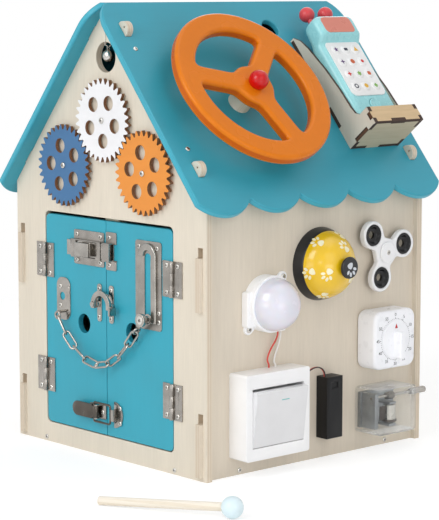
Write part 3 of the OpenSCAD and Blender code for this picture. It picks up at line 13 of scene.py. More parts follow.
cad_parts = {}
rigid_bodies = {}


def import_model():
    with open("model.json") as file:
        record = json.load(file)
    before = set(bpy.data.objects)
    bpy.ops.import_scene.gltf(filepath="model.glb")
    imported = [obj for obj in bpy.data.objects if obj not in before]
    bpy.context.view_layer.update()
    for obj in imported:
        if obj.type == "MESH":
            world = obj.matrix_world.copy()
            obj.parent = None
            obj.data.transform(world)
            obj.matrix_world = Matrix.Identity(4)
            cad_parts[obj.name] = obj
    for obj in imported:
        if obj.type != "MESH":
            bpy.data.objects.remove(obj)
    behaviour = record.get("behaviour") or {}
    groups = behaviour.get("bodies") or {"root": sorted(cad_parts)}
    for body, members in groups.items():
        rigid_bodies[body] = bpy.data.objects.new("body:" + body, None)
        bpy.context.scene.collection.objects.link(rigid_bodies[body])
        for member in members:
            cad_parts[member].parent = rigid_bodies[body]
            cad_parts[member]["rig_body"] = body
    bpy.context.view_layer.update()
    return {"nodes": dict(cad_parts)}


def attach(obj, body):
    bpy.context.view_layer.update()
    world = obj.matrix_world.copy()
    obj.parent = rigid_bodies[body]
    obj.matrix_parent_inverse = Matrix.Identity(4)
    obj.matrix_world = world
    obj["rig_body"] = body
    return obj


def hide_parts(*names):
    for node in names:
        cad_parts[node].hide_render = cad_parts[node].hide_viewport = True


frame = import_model()

# ---------------------------------------------------------------- Studio
# A white sweep of paper under soft lamps, with the board seen from its front right corner,
# a little above its middle.
camera = bpy.data.objects.new("studio_camera", bpy.data.cameras.new("studio_camera"))
bpy.context.collection.objects.link(camera)
bpy.context.scene.camera = camera
camera_turn = math.radians(48.04)
camera_tip = math.radians(7.629)
camera.location = (1.604863, -1.441732, 0.47965)
camera.rotation_euler = (math.pi / 2 - camera_tip, 0, camera_turn)
focal_pixels, frame_pixels = 2043.04, 520
camera.data.sensor_width = 36
camera.data.lens = focal_pixels * camera.data.sensor_width / frame_pixels
camera.data.clip_end = 30
bpy.context.scene.view_settings.view_transform = "Standard"


def wire_up(tree, kind, inputs=None, **settings):
    """A node with its settings, its inputs given as plain values or as another node's sockets."""
    node = tree.nodes.new(kind)
    for name, value in settings.items():
        setattr(node, name, value)
    for name, value in (inputs or {}).items():
        socket = node.inputs[name]
        if isinstance(value, bpy.types.NodeSocket):
            tree.links.new(value, socket)
        else:
            socket.default_value = value
    return node


def reckon(tree, operation, *numbers):
    """The result of a sum on numbers or on other nodes' sockets."""
    return wire_up(tree, "ShaderNodeMath", dict(enumerate(numbers)), operation=operation).outputs[0]


def spread(tree, value, low, high, to_low, to_high):
    """Maps a value from one range to another and keeps it inside."""
    return wire_up(tree, "ShaderNodeMapRange",
        {"Value": value, "From Min": low, "From Max": high, "To Min": to_low, "To Max": to_high}).outputs[0]


def mixed_color(tree, factor, a, b):
    return wire_up(tree, "ShaderNodeMix", {"Factor": factor, "A": a, "B": b}, data_type="RGBA").outputs["Result"]


def new_material(name):
    material = bpy.data.materials.new(name)
    material.use_nodes = True
    material.node_tree.nodes.clear()
    return material, material.node_tree


def seen_ray(tree):
    """1 where the camera sees something, also in a reflection or through a clear piece."""
    ray = wire_up(tree, "ShaderNodeLightPath").outputs
    seen = reckon(tree, "MAXIMUM", ray["Is Camera Ray"], ray["Is Glossy Ray"])
    return reckon(tree, "MAXIMUM", seen, ray["Is Transmission Ray"])


white = (1, 1, 1, 1)
paper_light, paper_seen, paper_lift = (0.95, 0.95, 0.95, 1), (0.5, 0.5, 0.5, 1), 0.62
paper_fades_from, paper_is_white_from = 0.4, 1.0
paper, tree = new_material("studio_paper")
seen = seen_ray(tree)
sheet = wire_up(tree, "ShaderNodeBsdfDiffuse", {"Color": mixed_color(tree, seen, paper_light, paper_seen)})
glow = wire_up(tree, "ShaderNodeEmission", {"Color": white, "Strength": reckon(tree, "MULTIPLY", seen, paper_lift)})
both = wire_up(tree, "ShaderNodeAddShader", {0: sheet.outputs[0], 1: glow.outputs[0]})
spot = wire_up(tree, "ShaderNodeNewGeometry").outputs["Position"]
away = wire_up(tree, "ShaderNodeVectorMath", {0: spot}, operation="LENGTH").outputs["Value"]
far = reckon(tree, "MULTIPLY", spread(tree, away, paper_fades_from, paper_is_white_from, 0, 1), seen)
pure = wire_up(tree, "ShaderNodeEmission", {"Color": white, "Strength": 1.0})
faded = wire_up(tree, "ShaderNodeMixShader", {0: far, 1: both.outputs[0], 2: pure.outputs[0]})
wire_up(tree, "ShaderNodeOutputMaterial", {"Surface": faded.outputs[0]})

shape = bmesh.new()
bmesh.ops.create_grid(shape, x_segments=1, y_segments=1, size=9)
floor_mesh = bpy.data.meshes.new("studio_floor")
shape.to_mesh(floor_mesh)
shape.free()
floor_mesh.materials.append(paper)
floor = bpy.data.objects.new("studio_floor", floor_mesh)
bpy.context.collection.objects.link(floor)

air_light = 0.5
world = bpy.data.worlds.new("studio_air")
bpy.context.scene.world = world
world.use_nodes = True
tree = world.node_tree
tree.nodes.clear()
level = spread(tree, seen_ray(tree), 0, 1, air_light, 1)
air = wire_up(tree, "ShaderNodeBackground", {"Color": white, "Strength": level})
wire_up(tree, "ShaderNodeOutputWorld", {"Surface": air.outputs[0]})

for name, place, aim, size, watts, fan in (
    ("key_lamp", (0.35, -2.6, 2.0), (0, 0, 0.2), 1.6, 34, 180),
    ("fill_lamp", (2.9, -0.5, 1.5), (0, 0, 0.2), 1.8, 9, 180),
    ("top_lamp", (0.6, 0.4, 2.8), (0, 0, 0.2), 1.8, 9, 180),
    ("back_lamp", (-1.8, 2.2, 1.8), (0, 0, 0.2), 1.6, 12, 180),
    ("low_wall_lamp", (0.95, -0.25, 0.08), (0.146, 0, 0.02), 0.4, 0.3, 90),
    ("low_gable_lamp", (0.5, -1.9, 0.2), (0, -0.15, 0.06), 0.7, 3, 180),
    ("left_glint", (1.438, -1.628, 0.63), (0.1, -0.1, 0.2), 0.05, 0.5, 180),
    ("middle_glint", (1.538, -1.516, 0.66), (0.1, -0.1, 0.2), 0.05, 0.5, 180),
    ("right_glint", (1.658, -1.382, 0.64), (0.1, -0.1, 0.2), 0.05, 0.5, 180),
):
    lamp = bpy.data.objects.new(name, bpy.data.lights.new(name, "AREA"))
    bpy.context.collection.objects.link(lamp)
    lamp.data.size = size
    lamp.data.energy = watts
    lamp.data.spread = math.radians(fan)
    lamp.location = place
    lamp.rotation_euler = (Vector(aim) - Vector(place)).to_track_quat("-Z", "Y").to_euler()

# ---------------------------------------------------------------- Lamp wires and battery lead
# Thin PVC wires: a red and a white one from the lamp's gland into the switch box, and a red and a
# black one side by side from the switch box into the battery box. They push into their boxes.
house_half = 152
wall_face = 146.4
on_wall = Matrix(((0, 0, 0.001, wall_face / 1000), (0.001, 0, 0, -house_half / 1000), (0, 0.001, 0, 0), (0, 0, 0, 1)))
lamp_wire_d = 1.8
lead_wire_d = 1.25


def new_look(name, **inputs):
    """A look that several finishes share: its inputs are vectors (None), numbers and colours."""
    look = bpy.data.node_groups.new(name, "ShaderNodeTree")
    for label, value in {"Vector": None, **inputs}.items():
        kind = "Vector" if value is None else "Float" if isinstance(value, float) else "Color"
        socket = look.interface.new_socket(label, in_out="INPUT", socket_type="NodeSocket" + kind)
        if value is not None:
            socket.default_value = value
    for label, kind in (("Color", "Color"), ("Roughness", "Float"), ("Height", "Float")):
        look.interface.new_socket(label, in_out="OUTPUT", socket_type="NodeSocket" + kind)
    return look, look.nodes.new("NodeGroupInput").outputs


def end_look(look, color, roughness, height):
    outlet = look.nodes.new("NodeGroupOutput").inputs
    for label, value in (("Color", color), ("Roughness", roughness), ("Height", height)):
        look.links.new(value, outlet[label])


def noise(tree, vector, scale, detail=3.0, roughness=0.5):
    return wire_up(tree, "ShaderNodeTexNoise",
        {"Vector": vector, "Scale": scale, "Detail": detail, "Roughness": roughness}).outputs["Fac"]


def stretched(tree, vector, by):
    return wire_up(tree, "ShaderNodeVectorMath", {0: vector, 1: by}, operation="MULTIPLY").outputs[0]


def shade(tree, color, factor):
    """A colour made lighter or darker by a factor around 1."""
    return wire_up(tree, "ShaderNodeHueSaturation", {"Color": color, "Value": factor}).outputs["Color"]


# Moulded plastic: faint flow marks in its colour, a soft orange peel and uneven gloss
plastic_look, given = new_look("moulded_plastic", Color=(0.8, 0.8, 0.8, 1), Gloss=0.35, Peel=1.0)
flow = noise(plastic_look, given["Vector"], 28, 3)
marks = noise(plastic_look, given["Vector"], 900, 2)
uneven = spread(plastic_look, noise(plastic_look, given["Vector"], 120, 4), 0.3, 0.7, -0.05, 0.06)
end_look(plastic_look, shade(plastic_look, given["Color"], spread(plastic_look, flow, 0.3, 0.7, 0.965, 1.03)),
    reckon(plastic_look, "ADD", given["Gloss"], uneven), reckon(plastic_look, "MULTIPLY", marks, given["Peel"]))


def srgb(*seen):
    """A colour as it is seen, 0 to 255, for a shader."""
    return tuple((c / 255 / 12.92 if c <= 10 else ((c / 255 + 0.055) / 1.055) ** 2.4) for c in seen) + (1,)


def finish(name, look, color, bump=0.1, bump_depth=0.0002, turn=(0, 0, 0), **settings):
    """A finish: a look drives a Principled shader, and a setting names an input of either."""
    material, tree = new_material(name)
    coordinates = wire_up(tree, "ShaderNodeTexCoord").outputs
    effect = wire_up(tree, "ShaderNodeGroup", node_tree=look)
    surface = wire_up(tree, "ShaderNodeBsdfPrincipled")
    turned_to = tuple(math.radians(angle) for angle in turn)
    for label, source in (("Vector", "Object"), ("Normal", "Normal")):
        if label in effect.inputs:
            axes = wire_up(tree, "ShaderNodeMapping", {"Vector": coordinates[source], "Rotation": turned_to})
            tree.links.new(axes.outputs[0], effect.inputs[label])
    for label, value in {"Color": color, **settings}.items():
        label = label.replace("_", " ")
        sockets = effect.inputs if label in effect.inputs else surface.inputs
        sockets[label].default_value = srgb(*value) if label in ("Color", "Dark") else value
    tree.links.new(effect.outputs["Color"], surface.inputs["Base Color"])
    tree.links.new(effect.outputs["Roughness"], surface.inputs["Roughness"])
    relief = wire_up(tree, "ShaderNodeBump",
        {"Strength": bump, "Distance": bump_depth, "Height": effect.outputs["Height"]})
    tree.links.new(relief.outputs[0], surface.inputs["Normal"])
    wire_up(tree, "ShaderNodeOutputMaterial", {"Surface": surface.outputs[0]})
    return material


red_jacket = finish("red_wire_jacket", plastic_look, (206, 70, 58), Gloss=0.4)
white_jacket = finish("white_wire_jacket", plastic_look, (232, 230, 226), Gloss=0.4)
black_jacket = finish("black_wire_jacket", plastic_look, (38, 34, 34), Gloss=0.4)


def smooth_route(points, steps):
    """Points of a smooth line through given ones."""
    ends = [2 * points[0] - points[1], *points, 2 * points[-1] - points[-2]]
    route = []
    for a, b, c, d in zip(ends, ends[1:], ends[2:], ends[3:]):
        for i in range(steps):
            t = i / steps
            route.append(0.5 * (2 * b + (c - a) * t + (2 * a - 5 * b + 4 * c - d) * t * t
                + (3 * b - a - 3 * c + d) * t ** 3))
    return [*route, points[-1]]


def lay_wire(name, stops, diameter, jacket, node):
    """A wire of its real length along stops given back from the gable, up, and out of the wall."""
    route = smooth_route([on_wall @ Vector(stop) for stop in stops], 4)
    line = bpy.data.curves.new(name, "CURVE")
    line.dimensions = "3D"
    line.bevel_depth = diameter / 2000
    line.bevel_resolution = 4
    line.use_fill_caps = True
    spline = line.splines.new("POLY")
    spline.points.add(len(route) - 1)
    for point, place in zip(spline.points, route):
        point.co = (*place, 1)
    spline.use_smooth = True
    line.materials.append(jacket)
    wire = bpy.data.objects.new(name, line)
    bpy.context.collection.objects.link(wire)
    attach(wire, "house")
    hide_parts(node)


red_stops = [(94, 140, 6), (94, 136, 6), (92, 130, 5), (88, 124, 4), (84, 118, 4), (82, 112, 4), (83, 107, 5),
    (83, 104, 5)]
white_stops = [(98, 140, 6), (98, 136, 6), (97, 129, 5), (95, 121, 4), (92, 114, 4), (91, 109, 4), (92, 106, 5),
    (92, 104, 5)]
lead_stops = [(120.2, 92, 10), (123, 92, 10), (128, 93, 10), (134, 95, 10), (141, 97, 10), (147, 97, 10), (152, 95, 10),
    (155, 92, 10), (156.4, 88.5, 10), (156.4, 86, 10)]
lay_wire("lamp_wire_red", red_stops, lamp_wire_d, red_jacket, "lamp_wires")
lay_wire("lamp_wire_white", white_stops, lamp_wire_d, white_jacket, "lamp_wires")
for name, aside, jacket in (("lead_wire_red", -0.62, red_jacket), ("lead_wire_black", 0.62, black_jacket)):
    lay_wire(name, [(y, z, out + aside) for y, z, out in lead_stops], lead_wire_d, jacket, "battery_lead")

# ---------------------------------------------------------------- House boards
# Two gables, two side walls, a base and a small door stop of birch plywood, cut on a laser and left
# bare. The walls hook through slots in the gables and the screws below hold the base.
birch_look, given = new_look("birch_ply", Normal=None, Color=(0.7, 0.62, 0.5, 1), Dark=(0.42, 0.3, 0.18, 1), Char=0.25,
    Layer=0.0014, Figure=1.0)
long_grain = stretched(birch_look, given["Vector"], (1.0, 0.07, 1.0))
broad = noise(birch_look, long_grain, 26, 4, 0.6)
fine = noise(birch_look, long_grain, 420, 3, 0.65)
pores = noise(birch_look, stretched(birch_look, given["Vector"], (1.0, 0.12, 1.0)), 1500, 2, 0.5)
streak = reckon(birch_look, "ADD", spread(birch_look, broad, 0.35, 0.7, 0.03, -0.045),
    spread(birch_look, fine, 0.3, 0.75, 0.02, -0.04))
streak = reckon(birch_look, "MULTIPLY", streak, given["Figure"])
face_color = shade(birch_look, given["Color"], reckon(birch_look, "ADD", streak, 1.0))
depth = wire_up(birch_look, "ShaderNodeSeparateXYZ", {0: given["Vector"]}).outputs["Z"]
band = reckon(birch_look, "PINGPONG", reckon(birch_look, "DIVIDE", depth, given["Layer"]), 1.0)
ply_mask = spread(birch_look, band, 0.42, 0.58, 0.0, 1.0)
edge_tone = mixed_color(birch_look, spread(birch_look, ply_mask, 0, 1, 0.12, 0.42), given["Color"], given["Dark"])
scorch = spread(birch_look, noise(birch_look, given["Vector"], 160, 3), 0.3, 0.7, 0.7, 1.0)
burnt = mixed_color(birch_look, reckon(birch_look, "MULTIPLY", given["Char"], scorch), edge_tone, given["Dark"])
facing = wire_up(birch_look, "ShaderNodeSeparateXYZ", {0: given["Normal"]}).outputs["Z"]
is_edge = spread(birch_look, reckon(birch_look, "ABSOLUTE", facing), 0.6, 0.8, 1.0, 0.0)
end_look(birch_look, mixed_color(birch_look, is_edge, face_color, burnt), spread(birch_look, fine, 0.2, 0.8, 0.5, 0.68),
    reckon(birch_look, "ADD", fine, pores))

birch_pale = (226, 216, 199)
birch_dark = (192, 166, 134)
gable_birch = finish("birch_gable", birch_look, birch_pale, 0.25, 0.0001, Dark=birch_dark, Char=0.1, turn=(90, 0, 0))
wall_birch = finish("birch_wall", birch_look, (221, 210, 193), 0.25, 0.0001, Dark=birch_dark, Char=0.1,
    turn=(0, 90, 90))
base_birch = finish("birch_base", birch_look, birch_pale, 0.25, 0.0001, Dark=birch_dark)
stop_birch = finish("birch_stop", birch_look, (226, 214, 190), 0.25, 0.0001, Dark=birch_dark, Layer=0.0016,
    turn=(90, 0, 0))
for node, material in (("front_gable", gable_birch), ("back_gable", gable_birch), ("right_wall", wall_birch),
        ("left_wall", wall_birch), ("base_board", base_birch), ("door_stop", stop_birch)):
    board_mesh = frame["nodes"][node].data
    board_mesh.materials.clear()
    board_mesh.materials.append(material)

# ---------------------------------------------------------------- Roof
# Two plywood panels sprayed teal, with five scallops along each eave and rounded ridge corners.
# Slots drop over the gables' tongues, and the panels meet in a flat ridge.
roof_t = 7
roof_pitch = math.radians(50.4)
eave = (house_half + roof_t * math.sin(roof_pitch), 275 + roof_t * math.cos(roof_pitch))
slope = (math.cos(roof_pitch) / 1000, math.sin(roof_pitch) / 1000)
on_roof = Matrix(((0, -slope[0], slope[1], eave[0] / 1000), (0.001, 0, 0, -house_half / 1000),
    (0, slope[1], slope[0], eave[1] / 1000), (0, 0, 0, 1)))
mirror_x = Matrix.Diagonal((-1, 1, 1, 1))
ridge_top = 0.46367


def heading(turn):
    """A step of one in a direction in degrees."""
    return Vector((math.cos(math.radians(turn)), math.sin(math.radians(turn))))


def moved(x, y, z=0):
    return Matrix.Translation((x, y, z))


def turned_by(degrees, axis):
    return Matrix.Rotation(math.radians(degrees), 4, axis)


def arc(x, y, radius, start, end, steps):
    """Points on an arc, both ends included, its angles in degrees."""
    turns = [math.radians(start + (end - start) * i / steps) for i in range(steps + 1)]
    return [(x + radius * math.cos(turn), y + radius * math.sin(turn)) for turn in turns]


def circle(x, y, radius, steps=48):
    return arc(x, y, radius, 0, 360 - 360 / steps, steps - 1)


def round_rect(x, y, w, h, radius, steps=6):
    """A rectangle about its middle with round corners."""
    outline = []
    for i, (a, b) in enumerate(((1, 1), (-1, 1), (-1, -1), (1, -1))):
        outline += arc(x + a * (w / 2 - radius), y + b * (h / 2 - radius), radius, 90 * i, 90 * i + 90, steps)
    return outline


def signed_area(loop):
    return sum(a[0] * b[1] - b[0] * a[1] for a, b in zip(loop, loop[1:] + loop[:1])) / 2


def board(loops, low, high, edge, rounds=3):
    """A board between two heights from its outline and holes, its edges rounded over."""
    shape = bmesh.new()
    low_ring, high_ring = [], []
    section = [(edge * (1 - math.sin(turn)), low + edge * (1 - math.cos(turn)))
        for turn in [math.pi / 2 * i / rounds for i in range(rounds + 1)]]
    section += [(inset, low + high - height) for inset, height in reversed(section)]
    for n, loop in enumerate(loops):
        if (signed_area(loop) > 0) != (n == 0):
            loop = loop[::-1]
        size = len(loop)
        outward = []
        for i, point in enumerate(loop):
            a = Vector(point) - Vector(loop[i - 1])
            b = Vector(loop[(i + 1) % size]) - Vector(point)
            a, b = Vector((a.y, -a.x)).normalized(), Vector((b.y, -b.x)).normalized()
            middle = (a + b).normalized()
            outward.append(middle / max(0.5, middle.dot(a)))
        rings = [[shape.verts.new((x - away.x * inset, y - away.y * inset, height))
            for (x, y), away in zip(loop, outward)] for inset, height in section]
        for k, (under, over) in enumerate(zip(rings, rings[1:])):
            for i in range(size):
                j = (i + 1) % size
                side = shape.faces.new((under[i], under[j], over[j], over[i]))
                side.material_index = 1 if k == rounds else 0
        low_ring.append(rings[0])
        high_ring.append(rings[-1])
    for rings, flip in ((low_ring, True), (high_ring, False)):
        corners = [vert for ring in rings for vert in ring]
        for a, b, c in tessellate_polygon([[vert.co for vert in ring] for ring in rings]):
            if len({a, b, c}) == 3:
                shape.faces.new((corners[a], corners[c], corners[b]) if flip else (corners[a], corners[b], corners[c]))
    return shape


def settle(name, shape, place, materials, body, node=None, sharp=50, weigh=True):
    """Puts a shape in its place as a piece that rides on a body and stands for a node.
    Its materials are one for the whole piece, or a pair for its faces and its cut edges."""
    bmesh.ops.transform(shape, matrix=place, verts=shape.verts)
    bmesh.ops.recalc_face_normals(shape, faces=shape.faces)
    mesh = bpy.data.meshes.new(name)
    shape.to_mesh(mesh)
    shape.free()
    used = 1 + max(face.material_index for face in mesh.polygons)
    for material in materials if isinstance(materials, tuple) else (materials,) * used:
        mesh.materials.append(material)
    mesh.shade_smooth()
    mesh.set_sharp_from_angle(angle=math.radians(sharp))
    made = bpy.data.objects.new(name, mesh)
    bpy.context.collection.objects.link(made)
    if weigh:
        evened = made.modifiers.new("even_shading", "WEIGHTED_NORMAL")
        evened.keep_sharp = True
    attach(made, body)
    if node:
        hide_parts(node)
    return made


# Sprayed paint on wood: a faint grain under the film and fine stipple. Its edge copies below are a lighter painted
# highlight on the roof and a darker painted shade on the doors and the wheel
paint_look, given = new_look("sprayed_paint", Color=(0.2, 0.5, 0.6, 1), Gloss=0.42, Grain=None)
under = noise(paint_look, stretched(paint_look, given["Vector"], given["Grain"]), 180, 4, 0.6)
cloud = noise(paint_look, given["Vector"], 14, 3)
dust = noise(paint_look, given["Vector"], 1300, 2)
tone = reckon(paint_look, "ADD", spread(paint_look, cloud, 0.3, 0.7, 0.965, 1.035),
    spread(paint_look, under, 0.35, 0.75, 0.012, -0.02))
gloss = reckon(paint_look, "ADD", given["Gloss"], spread(paint_look, cloud, 0.3, 0.7, -0.05, 0.08))
end_look(paint_look, shade(paint_look, given["Color"], tone), gloss, reckon(paint_look, "ADD", under, dust))

roof_paint = finish("teal_roof_paint", paint_look, (48, 156, 178), 0.2, 0.00012, Grain=(1.0, 0.08, 1.0), Gloss=0.4)
# The straight cut edges get a lighter copy of the teal: a painted highlight for the front light they catch.
roof_painted_highlight = finish("teal_edge_paint", paint_look, (62, 170, 192), 0.3, 0.00015, Grain=(1.0, 0.3, 1.0), Gloss=0.36)
panel_from, panel_to, panel_high, corner_r = -18, 322, 246.9, 36
scallops, scallop_w, scallop_r, scallop_low = 5, 68, 44.125, -20.6
half_turn = math.degrees(math.asin(scallop_w / 2 / scallop_r))
outline = []
for i in range(scallops):
    middle = panel_from + scallop_w * (i + 0.5)
    scallop = arc(middle, scallop_low + scallop_r, scallop_r, 270 - half_turn, 270 + half_turn, 18)
    outline += scallop[(0 if i == 0 else 1):]
outline += arc(panel_to - corner_r, panel_high - corner_r, corner_r, 0, 90, 16)
outline += arc(panel_from + corner_r, panel_high - corner_r, corner_r, 90, 180, 16)
tongue_ys = (3.5, 300.5)
slots = [round_rect(y, s, 7.3, 16.7, 0.4, 2) for y in tongue_ys for s in (33.5, 205)]
peg_hole = circle(200.7, 203.3, 10.25)
for name, holes, place in (("roof_panel_right", [*slots, peg_hole], on_roof),
        ("roof_panel_left", slots, mirror_x @ on_roof)):
    panel = board([outline, *holes], -roof_t, 0, 1.6, 4)
    bmesh.ops.transform(panel, matrix=place, verts=panel.verts)
    for point, away in (((0, 0, 0), (-1 if place is on_roof else 1, 0, 0)), ((0, 0, ridge_top), (0, 0, 1))):
        cut = bmesh.ops.bisect_plane(panel, geom=panel.verts[:] + panel.edges[:] + panel.faces[:], dist=1e-7,
            plane_co=point, plane_no=away, clear_outer=True)
        rim = [item for item in cut["geom_cut"] if isinstance(item, bmesh.types.BMEdge)]
        bmesh.ops.edgeloop_fill(panel, edges=rim)
    side = name.rsplit("_", 1)[1]
    settle(name, panel, Matrix.Identity(4), (roof_paint, roof_painted_highlight), "house", "roof_" + side, 35)

# ---------------------------------------------------------------- Doors and hinges
# Two plywood doors sprayed teal, each with a finger hole, hang on four pressed steel butt hinges
# held by small pan-head screws. They meet at a seam in front of the stop block.
def settled_copy(node, edge, material, steps=2, angle=40, screws=(), plane=None):
    """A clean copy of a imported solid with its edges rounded; its plain screw heads are levelled off."""
    plate_face, head_reach = 1.2, 2.8
    source = frame["nodes"][node]
    shape = bmesh.new()
    shape.from_mesh(source.data)
    bmesh.ops.remove_doubles(shape, verts=shape.verts, dist=2e-6)
    if screws:
        back = plane.inverted()
        for vert in shape.verts:
            spot = back @ vert.co
            if spot.z > plate_face + 0.3 and any(math.hypot(spot.x - x, spot.y - y) < head_reach for x, y in screws):
                spot.z = plate_face
                vert.co = plane @ spot
        bmesh.ops.remove_doubles(shape, verts=shape.verts, dist=2e-6)
    bmesh.ops.dissolve_limit(shape, angle_limit=math.radians(1), verts=shape.verts, edges=shape.edges)
    mesh = bpy.data.meshes.new(node + "_made")
    shape.to_mesh(mesh)
    shape.free()
    mesh.materials.append(material)
    mesh.shade_smooth()
    made = bpy.data.objects.new(mesh.name, mesh)
    bpy.context.collection.objects.link(made)
    rounding = made.modifiers.new("rounding", "BEVEL")
    rounding.width = edge / 1000
    rounding.segments = steps
    rounding.limit_method = "ANGLE"
    rounding.angle_limit = math.radians(angle)
    rounding.harden_normals = True
    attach(made, source["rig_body"])
    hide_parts(node)
    return made


# Nickel-plated pressed steel: fine rolling lines, cloudy light and dark patches of colour that are painted reflections,
# and small scratches
steel_look, given = new_look("plated_steel", Color=(0.5, 0.49, 0.47, 1), Gloss=0.3, Lines=None)
rolled = noise(steel_look, stretched(steel_look, given["Vector"], given["Lines"]), 700, 3, 0.6)
painted_reflection_clouds = noise(steel_look, given["Vector"], 75, 3)
specks = noise(steel_look, given["Vector"], 700, 2)
# The cloud noise lightens and darkens the colour as a painted reflection; the rolling lines are real.
rolling_and_painted_reflection = reckon(steel_look, "ADD", spread(steel_look, painted_reflection_clouds, 0.33, 0.67, 0.84, 1.1),
    spread(steel_look, rolled, 0.3, 0.7, -0.03, 0.03))
gloss = reckon(steel_look, "ADD", given["Gloss"], spread(steel_look, painted_reflection_clouds, 0.3, 0.7, 0.08, -0.06))
end_look(steel_look, shade(steel_look, given["Color"], rolling_and_painted_reflection), gloss, reckon(steel_look, "ADD", rolled, specks))

plate_steel = finish("hinge_steel", steel_look, (164, 159, 153), 0.15, 0.00006, Gloss=0.26, Lines=(1.0, 1.0, 0.05),
    Metallic=1.0)
bright_steel = finish("bright_steel", steel_look, (172, 168, 162), 0.08, 0.00004, Gloss=0.18, Lines=(1.0, 1.0, 1.0),
    Metallic=1.0)
screw_steel = finish("screw_steel", steel_look, (206, 203, 197), 0.08, 0.00004, Gloss=0.18, Lines=(1.0, 1.0, 1.0),
    Metallic=1.0)
lever_steel = finish("lever_steel", steel_look, (96, 90, 84), 0.12, 0.00006, Gloss=0.3, Lines=(1.0, 1.0, 0.05),
    Metallic=1.0)
# A dark colour for the screws' cross recesses: painted shade.
recess_dark = finish("recess_dark", steel_look, (46, 42, 40), 0.1, Gloss=0.6)
door_paint = finish("teal_door_paint", paint_look, (48, 164, 186), 0.2, 0.00012, Grain=(1.0, 1.0, 0.08), Gloss=0.42)
# The doors' straight cut edges and finger-hole walls get a darker copy of the teal: painted shade.
door_painted_shade = finish("teal_door_edge", paint_look, (40, 144, 166), 0.3, 0.00015, Grain=(1.0, 1.0, 0.3), Gloss=0.45)

on_front = Matrix(((0.001, 0, 0, 0), (0, 0, -0.001, -house_half / 1000), (0, 0.001, 0, 0), (0, 0, 0, 1)))
door_middle = 134.25
hinge_x = 102.4
leaf_screw_x, leaf_screw_z = 8.2, 13.5
hinge_zs = (door_middle - 61.05, door_middle + 61.05)
door_low, door_high, door_corner = 22.5, 244, 6
screw_rows = [z + j for z in hinge_zs for j in (-leaf_screw_z, leaf_screw_z)]
jamb_screws = [(sign * (hinge_x + leaf_screw_x), z) for sign in (-1, 1) for z in screw_rows]
leaf_screws = {}
for side, sign, inner, outer in (("left", -1, -2.4, -101.8), ("right", 1, -1.6, 101.8)):
    outline = [(inner, door_low), (inner, door_high)]
    for z, start in ((door_high - door_corner, 90), (door_low + door_corner, 90 - 90 * sign)):
        outline += arc(outer - sign * door_corner, z, door_corner, start, start - 90 * sign, 6)
    settle("door_" + side, board([outline, circle(sign * 39, door_middle, 10)], -7, 0, 0.7, 3), on_front,
        (door_paint, door_painted_shade), "door_" + side, f"door_{side}_board")
    leaf_screws[side] = [(sign * (hinge_x - leaf_screw_x), z) for z in screw_rows]
    settled_copy("hinge_leaves_" + side, 0.2, plate_steel, screws=leaf_screws[side], plane=on_front)
settled_copy("hinge_jamb_leaves", 0.2, plate_steel, screws=jamb_screws, plane=on_front)

# ---------------------------------------------------------------- Door hardware
# Bought-in plated fittings: slide bolt with its keeper, door chain on a slotted track, swing clasp
# and draw latch. All are pressed from steel sheet and wire and screwed to the doors.
bolt_z, clasp_z, latch_z = 213.8, 159.3, 46
bolt_screws = [(-28.4 + i * 19.1, bolt_z + j * 13.2) for i in (-1, 1) for j in (-1, 1)]
keeper_screws = [(5.2, bolt_z + j * 13.85) for j in (-1, 1)]
clasp_left_screws = [(-12, clasp_z + j * 14.6) for j in (-1, 1)]
clasp_right_screws = [(7.25, clasp_z + j * 14.6) for j in (-1, 1)]
track_screws = [(52, 223.5), (80, 223.5), (82.3, 159), (82.3, 150)]
latch_screws = [(-24, latch_z), (-7, latch_z)]
strike_screws = [(20.6, latch_z + j * 7.8) for j in (-1, 1)]
link_pitch = 19.51
link_r = 3.65
link_wire_r = 1.15
link_overlap = 2.5
slider_spot = (66, 151.5)
tab_turn, tab_reach = 53, 17.7


def chain_points():
    """Joints of the chain's links, laid back from the slider's tab to the anchor."""
    turns = [-52.1, -42.1, -30.1, -12.1, 10.9, 30.9, 42.9, 47.9]
    joints = [Vector(slider_spot) - tab_reach * heading(tab_turn)]
    for turn in reversed(turns):
        joints.append(joints[-1] - link_pitch * heading(turn))
    return turns, joints[::-1]


link_turns, link_joints = chain_points()
anchor_place = link_joints[0] + Vector((-1.6, 18.6))
anchor_screws = [(anchor_place.x - 4.5, anchor_place.y + 2.6 + j * 10) for j in (-1, 1)]

for node, screws, steel, edge in (
    ("bolt_plate", bolt_screws, plate_steel, 0.5), ("bolt_slide", (), bright_steel, 0.5),
    ("bolt_keeper", keeper_screws, plate_steel, 0.5), ("chain_slider", (), bright_steel, 0.5),
    ("clasp_plate_left", clasp_left_screws, bright_steel, 0.3), ("clasp_arm", (), bright_steel, 0.7),
    ("clasp_plate_right", clasp_right_screws, bright_steel, 0.3), ("latch_base", latch_screws, plate_steel, 0.25),
    ("latch_lever", (), lever_steel, 0.35), ("latch_strike", strike_screws, plate_steel, 0.3),
):
    settled_copy(node, edge, steel, screws=screws, plane=on_front)
track_bead = [(71.8, 148), (79.2, 148), *arc(66, 214.5, 13.2, 0, 180, 20), *arc(66, 214.5, 6.2, 180, 0, 14),
    (71.8, 208)]
settle("track_plate", board([round_rect(66, 185.5, 40, 89, 3), round_rect(65.2, 183.5, 9.6, 68, 4.7)], 0, 1.2, 0.4, 2),
    on_front, plate_steel, "door_right", "chain_track", 30)
settle("track_bead", board([track_bead], 0.6, 4.0, 1.5, 4), on_front, bright_steel, "door_right")
settle("anchor_plate", board([round_rect(anchor_place.x, anchor_place.y, 22.7, 45, 9, 8),
    circle(anchor_place.x - 1.5, anchor_place.y + 2.6, 4)], 0, 1.2, 0.5, 2), on_front, bright_steel,
    "door_left", "chain_anchor", 30)
settle("anchor_ridge", board([round_rect(anchor_place.x + 8.6, anchor_place.y, 5, 28, 2.2)], 0.6, 2.4, 0.9, 3),
    on_front, bright_steel, "door_left")


